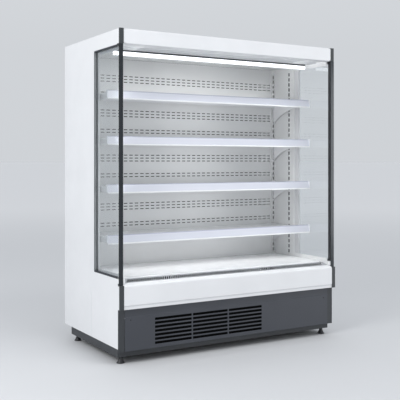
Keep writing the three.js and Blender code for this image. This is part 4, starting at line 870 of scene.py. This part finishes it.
def return_grille():
    node = "return_air_grille"
    low, high = box_of(node)
    slope = math.atan2(GRILLE_RISE, GRILLE_RUN)
    depth = math.hypot(GRILLE_RISE, GRILLE_RUN) - GRILLE_GAP
    count = int((high[0] - low[0] - 2 * GRILLE_MARGIN) // GRILLE_PITCH)
    place = (Matrix.Translation(GRILLE_FOOT * MM) @ Matrix.Rotation(slope, 4, "X")
             @ Matrix.Translation((0, (GRILLE_GAP + depth / 2) * MM, -GRILLE_GAUGE * MM)))
    piece = grown(f"{node}_punched", [(x * MM, 0, 0) for x in spaced(count, GRILLE_PITCH)], punched, place,
                  width=(high[0] - low[0]) * MM, height=depth * MM, gauge=GRILLE_GAUGE * MM,
                  hole_length=GRILLE_HOLE[0] * MM, hole_height=GRILLE_HOLE[1] * MM,
                  corner=GRILLE_CORNER * MM, lean=math.radians(GRILLE_LEAN), material=grille_painted_shade_grey)
    stand_in(piece, node)
    return count


print("grille slots", return_grille())

# %% [markdown]
# ## Honeycomb
# The outlet under the canopy is a block of polypropylene tubes that straightens the falling air, with
# hexagonal cells 12 mm across the flats. The cells could be tubes set side by side, but then every wall
# would be doubled. One thick sheet with hexagonal holes gives single walls, and every other column is
# moved by half a cell so that they fit together.

# %% Air outlet honeycomb
CELL_RADIUS = 7.0
CELL_WALL = 0.9
OUTLET_RIM = 2.0


def air_outlet():
    node = "air_outlet_honeycomb"
    low, high = box_of(node)
    width, depth = high[0] - low[0], high[1] - low[1]
    row = math.sqrt(3) * CELL_RADIUS + CELL_WALL
    column = 1.5 * CELL_RADIUS + CELL_WALL
    count = int((width - 2 * CELL_RADIUS - 2 * OUTLET_RIM) // column)
    rows = int((depth - 2 * OUTLET_RIM) // row)
    if rows * row + row / 2 >= depth - OUTLET_RIM:
        rows -= 1
    cells = []
    for i, x in enumerate(spaced(count, column)):
        shift = (i % 2 - 0.5) * row / 2
        cells += [(x * MM, (y + shift) * MM, 0) for y in spaced(rows, row)]
    place = Matrix.Translation([(low[0] + high[0]) / 2 * MM, (low[1] + high[1]) / 2 * MM, low[2] * MM])
    piece = grown(f"{node}_cells", cells, honeycomb, place, width=width * MM, height=depth * MM,
                  gauge=(high[2] - low[2]) * MM, hole_length=CELL_RADIUS * MM, material=outlet_plastic)
    stand_in(piece, node)
    return len(cells)


print("honeycomb cells", air_outlet())

# %% [markdown]
# ## Trees for the coils
# Both coils are the same machine: aluminium fins a few millimetres apart, pressed over rows of copper
# tube whose ends are joined by return bends. Each kind of part has a tree that instances one of it on
# every point. A bend could be a quarter of a torus, but a circle swept along an arc needs fewer faces
# and takes its radius from the pitch of the tubes.

# %% Trees of fins, tubes and bends
TUBE_SIDES = 12
BEND_SIDES = 8
BEND_STEPS = 9


def fin_tree():
    """A thin upright plate on each point."""
    tree, given = start_tree("coil_fins", thick=0.0004, deep=0.06, tall=0.2)
    size = add_node(tree, "ShaderNodeCombineXYZ",
                    {"X": given["thick"], "Y": given["deep"], "Z": given["tall"]})
    plate = add_node(tree, "GeometryNodeMeshCube", {"Size": size.outputs[0]})
    return end_tree(tree, given, on_points(tree, given, plate))


def tube_tree():
    """A straight tube along X on each point."""
    tree, given = start_tree("coil_tubes", bore=0.005, length=1.0)
    tube = add_node(tree, "GeometryNodeMeshCylinder",
                    {"Vertices": TUBE_SIDES, "Radius": given["bore"], "Depth": given["length"]})
    along_x = Vector((0, math.radians(90), 0))
    return end_tree(tree, given, on_points(tree, given, tube, Rotation=along_x))


def bend_tree():
    """A half ring of tube on each point, standing up and bulging to +X."""
    tree, given = start_tree("return_bends", bore=0.005, spread=0.02)
    arc = add_node(tree, "GeometryNodeCurveArc",
                   {"Resolution": BEND_STEPS, "Radius": given["spread"], "Start Angle": math.radians(-90),
                    "Sweep Angle": math.radians(180)})
    ring = add_node(tree, "GeometryNodeCurvePrimitiveCircle",
                    {"Resolution": BEND_SIDES, "Radius": given["bore"]})
    swept = add_node(tree, "GeometryNodeCurveToMesh",
                     {"Curve": arc.outputs[0], "Profile Curve": ring.outputs[0], "Fill Caps": True})
    upright = Vector((math.radians(90), 0, 0))
    return end_tree(tree, given, on_points(tree, given, swept, Rotation=upright))


fins, tubes, bends = fin_tree(), tube_tree(), bend_tree()
print("coil trees", fins.name, tubes.name, bends.name)

# %% [markdown]
# ## Coils
# A coil fills its measured box: fins and tubes take its length less the room for the bends at the right
# end, and every second pair of tubes is joined there. The measured coil is a block with a few thick
# fins, and its fins could be thinned instead, but a real one has a hundred or more.

# %% Finned coils
FIN_GAUGE = 0.4
TUBE_RADIUS = 4.8
BEND_ROOM = 20.0
COIL_CASE = 2.0
CONDENSER = {"pitch": 4.5, "rows": 2, "levels": 8}
EVAPORATOR = {"pitch": 7.0, "rows": 6, "levels": 4}


def coil(node, material, pitch, rows, levels):
    """Fins, tubes and bends inside the measured coil's box."""
    low, high = box_of(node)
    right = high[0] - BEND_ROOM
    length, depth, height = right - low[0], high[1] - low[1], high[2] - low[2]
    middle = Vector(((low[0] + right) / 2, (low[1] + high[1]) / 2, (low[2] + high[2]) / 2))
    count = int((length - 3 * COIL_CASE) // pitch)
    pack = grown(f"{node}_fins", [(x * MM, 0, 0) for x in spaced(count, pitch)], fins,
                 Matrix.Translation(middle * MM), thick=FIN_GAUGE * MM, deep=(depth - 2 * COIL_CASE) * MM,
                 tall=(height - 2 * COIL_CASE) * MM, material=material)
    stand_in(pack, node)
    step_y, step_z = depth / rows, height / levels
    columns = [low[1] + (r + 0.5) * step_y for r in range(rows)]
    grid = [(middle.x * MM, y * MM, (low[2] + (k + 0.5) * step_z) * MM)
            for y in columns for k in range(levels)]
    runs = grown(f"{node}_tubes", grid, tubes, bore=TUBE_RADIUS * MM, length=(length - 1) * MM,
                 material=copper)
    shaded(runs)
    finished(runs, BODY_OF[node], SLOT_OF[node])
    pairs = [(right * MM, y * MM, (low[2] + (k + 1) * step_z) * MM)
             for k in range(0, levels - 1, 2) for y in columns]
    turns = grown(f"{node}_bends", sorted(pairs), bends, bore=TUBE_RADIUS * MM,
                  spread=min(step_z / 2, BEND_ROOM - TUBE_RADIUS - 1) * MM, material=copper)
    shaded(turns, sharp=60)
    finished(turns, BODY_OF[node], SLOT_OF[node])
    return count


print("condenser fins", coil("condenser_coil", fins_black_and_shade, **CONDENSER))
print("evaporator fins", coil("evaporator_coil", fin_metal, **EVAPORATOR))

# %% [markdown]
# ## Machines
# The fans, their motors on straps, the compressor and the control box keep their measured shapes. Each
# wheel is moulded in one piece, and the sheet round it is galvanised. They could have rounder edges,
# but they stand in the dark behind the kick panel and under the deck, where one segment is enough. Only
# the compressor's glossy can gets two.

# %% Fans, compressor and control box
WHEELS = ("condenser_fan", *both("evaporator_fan"))
SHEET_PARTS = ("fan_plate", "condenser_fan_shroud", "electrical_box")

for node in WHEELS:
    eased(node, black_abs, 0.3, 1)
eased("compressor", enamel, 0.6)
for node in SHEET_PARTS:
    eased(node, zinc, 0.3, 1)
print("machines", *WHEELS, "compressor", *SHEET_PARTS)

# %% [markdown]
# ## Dust filter
# A sheet of black open-cell foam clips to the back of the kick panel and keeps dust off the condenser.
# Its near-black colour is also painted shade: it is why the slots look black instead of showing the
# machine behind them. Its open cells could be modelled, but they trap the light, and so a rough finish
# with almost no reflection does the same.

# %% Dust filter behind the kick panel
FILTER_BOX = ((-585, -408, 99), (225, -404, 272))
CELL_MM = 2.5


def dust_filter():
    # Near-black foam, partly painted shade for the dark behind the kick slots.
    foam = moulded("black_foam_and_painted_shade", "#050607", "#0a0b0c", 0.85, CELL_MM, 0.6, 1.45)
    foam.node_tree.nodes["Principled BSDF"].inputs["Specular IOR Level"].default_value = 0.1
    sheet = plain_box("kick_panel_filter_and_shade", foam, *FILTER_BOX)
    finished(sheet, "kick", "black_plastic")
    return foam.name


print("filter of", dust_filter())

# %% [markdown]
# ## Screws
# Black pan-head screws hold the kick panel and bright ones hold the roof. A head could be turned on a
# lathe profile with a recess, but at 8 mm across only its shape as a low button shows. One tree sets a
# shallow cone on each point and turns it to face outward, and 14 sides are plenty.

# %% Screws
HEAD_RADIUS = 4.0
HEAD_HEIGHT = 1.8
HEAD_SIDES = 14
CROWN = 0.62   # top of the head as a share of its rim


def screw_tree():
    tree, given = start_tree("pan_head_screws", radius=0.004, height=0.002, turn=0.0)
    crown = add_node(tree, "ShaderNodeMath", {0: given["radius"], 1: CROWN}, operation="MULTIPLY")
    head = add_node(tree, "GeometryNodeMeshCone",
                    {"Vertices": HEAD_SIDES, "Radius Top": crown.outputs[0], "Radius Bottom": given["radius"],
                     "Depth": given["height"]})
    turned = add_node(tree, "ShaderNodeCombineXYZ", {"X": given["turn"]})
    return end_tree(tree, given, on_points(tree, given, head, Rotation=turned.outputs[0]))


screws = screw_tree()


def screwed(name, places, turn_degrees, body, material, slot):
    """Screw heads at places in mm; 0 degrees faces up and 90 the front."""
    heads = grown(name, [Vector(place) * MM for place in places], screws, radius=HEAD_RADIUS * MM,
                  height=HEAD_HEIGHT * MM, turn=math.radians(turn_degrees), material=material)
    shaded(heads)
    finished(heads, body, slot)
    return len(places)


KICK_SCREWS = [(side * 740, -422, 266) for side in (-1, 1)]
ROOF_TOP = 1997.7
ROOF_SCREWS = [(x, y, ROOF_TOP) for x in range(-750, 751, 300) for y in (-388, 392)]
print("kick panel screws", screwed("kick_panel_screws", KICK_SCREWS, 90, "kick", enamel, "black_enamel"))
print("roof screws", screwed("roof_screws", ROOF_SCREWS, 0, "cabinet", bright_zinc, "galvanised"))

# %% [markdown]
# ## Floor
# The photograph is a catalogue picture with a pale seamless floor that grows lighter into the distance.
# A curved backdrop would hide the far edge, but it would stand in the way of the other views. So the
# floor is a very large flat sheet with painted light: its colour is darker near the fridge and lighter
# with distance from it. It is stage, not part of the object.

# %% Floor
FLOOR_SIZE = 2000
FLOOR_NEAR, FLOOR_FAR = 2.0, 16.0


def sheet_of_floor():
    bpy.ops.mesh.primitive_plane_add(size=FLOOR_SIZE, location=(0, 0, 0))
    floor = bpy.context.object
    floor.name = "studio_floor"
    paint = start_finish("matt_studio_floor_painted_light", {"Roughness": 0.75})
    distance = add_node(paint.tree, "ShaderNodeVectorMath", {0: paint.place}, operation="LENGTH")
    # Painted light: darker near the fridge, lighter far away.
    away = add_node(paint.tree, "ShaderNodeMapRange",
                    {"Value": distance.outputs["Value"], "From Min": FLOOR_NEAR, "From Max": FLOOR_FAR},
                    interpolation_type="SMOOTHSTEP")
    near, far = Vector(linear("#c9cacc")), Vector(linear("#e5e5e6"))
    painted_falloff = add_node(paint.tree, "ShaderNodeMix", {
        "Factor": away.outputs[0], FIRST_COLOUR: near, SECOND_COLOUR: far}, data_type="RGBA")
    paint.tree.links.new(painted_falloff.outputs[MIXED_COLOUR], paint.principled.inputs["Base Color"])
    floor.data.materials.append(paint.material)
    return floor.name


print("stage", sheet_of_floor())

# %% [markdown]
# ## Studio air and lights
# Soft light comes from everywhere, a little stronger from the front. The air of the studio is a gradient
# that is brighter overhead, as a white ceiling is. Three strong softboxes and two weak ones add the
# front light. One sky light could do all of it, but then no face would turn darker than another.

# %% Studio air
AIR_STEPS = ((0.0, 0.675), (0.14, 0.68), (1.0, 0.96))   # height of the direction, strength


def studio_air(steps):
    """A world whose strength goes through the steps from the horizon to overhead."""
    world = bpy.data.worlds.new("studio_air")
    bpy.context.scene.world = world
    world.use_nodes = True
    tree = world.node_tree
    direction = add_node(tree, "ShaderNodeTexCoord").outputs["Generated"]
    height = add_node(tree, "ShaderNodeSeparateXYZ", {0: direction}).outputs[2]
    strength = add_node(tree, "ShaderNodeValToRGB", {"Fac": height})
    ramp = strength.color_ramp
    stops = (ramp.elements[0], ramp.elements.new(0.5), ramp.elements[-1])
    for stop, (position, value) in zip(stops, steps):
        stop.position = position
        stop.color = (value, value, value, 1)
    background = tree.nodes["Background"]
    background.inputs["Color"].default_value = linear("#f6faff")
    tree.links.new(strength.outputs[0], background.inputs["Strength"])
    return world.name


print("world", studio_air(AIR_STEPS))

# %% Softboxes
OPEN_SPREAD = 180

# name, place and aim in metres, width and height in metres, watts
SOFTBOXES = (
    ("left_softbox", (-5.5, -2.0, 4.0), (0, 0, 0.9), (3.0, 3.0), 160),
    ("high_softbox", (0.5, -3.4, 5.6), (0, 0, 0.7), (2.4, 1.6), 74),
    ("right_fill", (5.2, -5.8, 1.3), (0.4, 0, 1.1), (2.2, 2.6), 74),
    ("low_fill", (-2.6, -7.0, 0.9), (0, 0, 1.0), (3.4, 1.6), 12),
    ("side_fill", (-2.6, -1.5, 1.5), (0.6, 0.1, 1.1), (1.2, 1.6), 7),
)


def softbox(name, place, target, size, power, spread=OPEN_SPREAD):
    """A rectangular lamp that no camera sees. A narrower spread is a grid on its front."""
    light = bpy.data.lights.new(name, "AREA")
    light.shape = "RECTANGLE"
    light.size, light.size_y = size
    light.energy = power
    light.spread = math.radians(spread)
    holder = bpy.data.objects.new(name, light)
    holder.location = place
    holder.rotation_euler = (Vector(target) - Vector(place)).to_track_quat("-Z", "Y").to_euler()
    holder.visible_camera = holder.visible_transmission = False
    holder.visible_glossy = spread == OPEN_SPREAD
    bpy.context.scene.collection.objects.link(holder)


for lamp in SOFTBOXES:
    softbox(*lamp)
print("softboxes", [lamp[0] for lamp in SOFTBOXES])

# %% [markdown]
# ## Light inside the cabinet
# The lit diffuser alone would need far more samples than a render has to fill the bays without grain.
# Small lamps with grids stand in for its throw: one straight down past the shelf fronts, one into the
# top bay, one over the deck, one across to the right wall, and one at each end of the lamp. They don't
# show in reflections.

# %% Lamps inside the cabinet
# as above, with the spread in degrees at the end
CABINET_LAMPS = (
    ("lamp_throw", (0, -0.218, 1.866), (0, -0.33, 0.5), (1.46, 0.01), 0.27, 17),
    ("bay_fill", (0, -0.17, 1.86), (0, 0.2, 1.64), (1.4, 0.06), 0.3, 60),
    ("deck_fill", (0, -0.12, 0.69), (0, -0.11, 0.5), (1.44, 0.24), 0.75, 80),
    ("wall_fill", (-0.74, -0.16, 1.4), (0.78, 0.02, 1.46), (0.12, 1.1), 1.1, 60),
    ("lamp_end_left", (-0.6, -0.23, 1.886), (-0.79, -0.23, 1.893), (0.3, 0.01), 0.1, 120),
    ("lamp_end_right", (0.6, -0.23, 1.886), (0.79, -0.23, 1.893), (0.3, 0.01), 0.1, 120),
)

for lamp in CABINET_LAMPS:
    softbox(*lamp)
bpy.context.scene.view_settings.view_transform = "Standard"
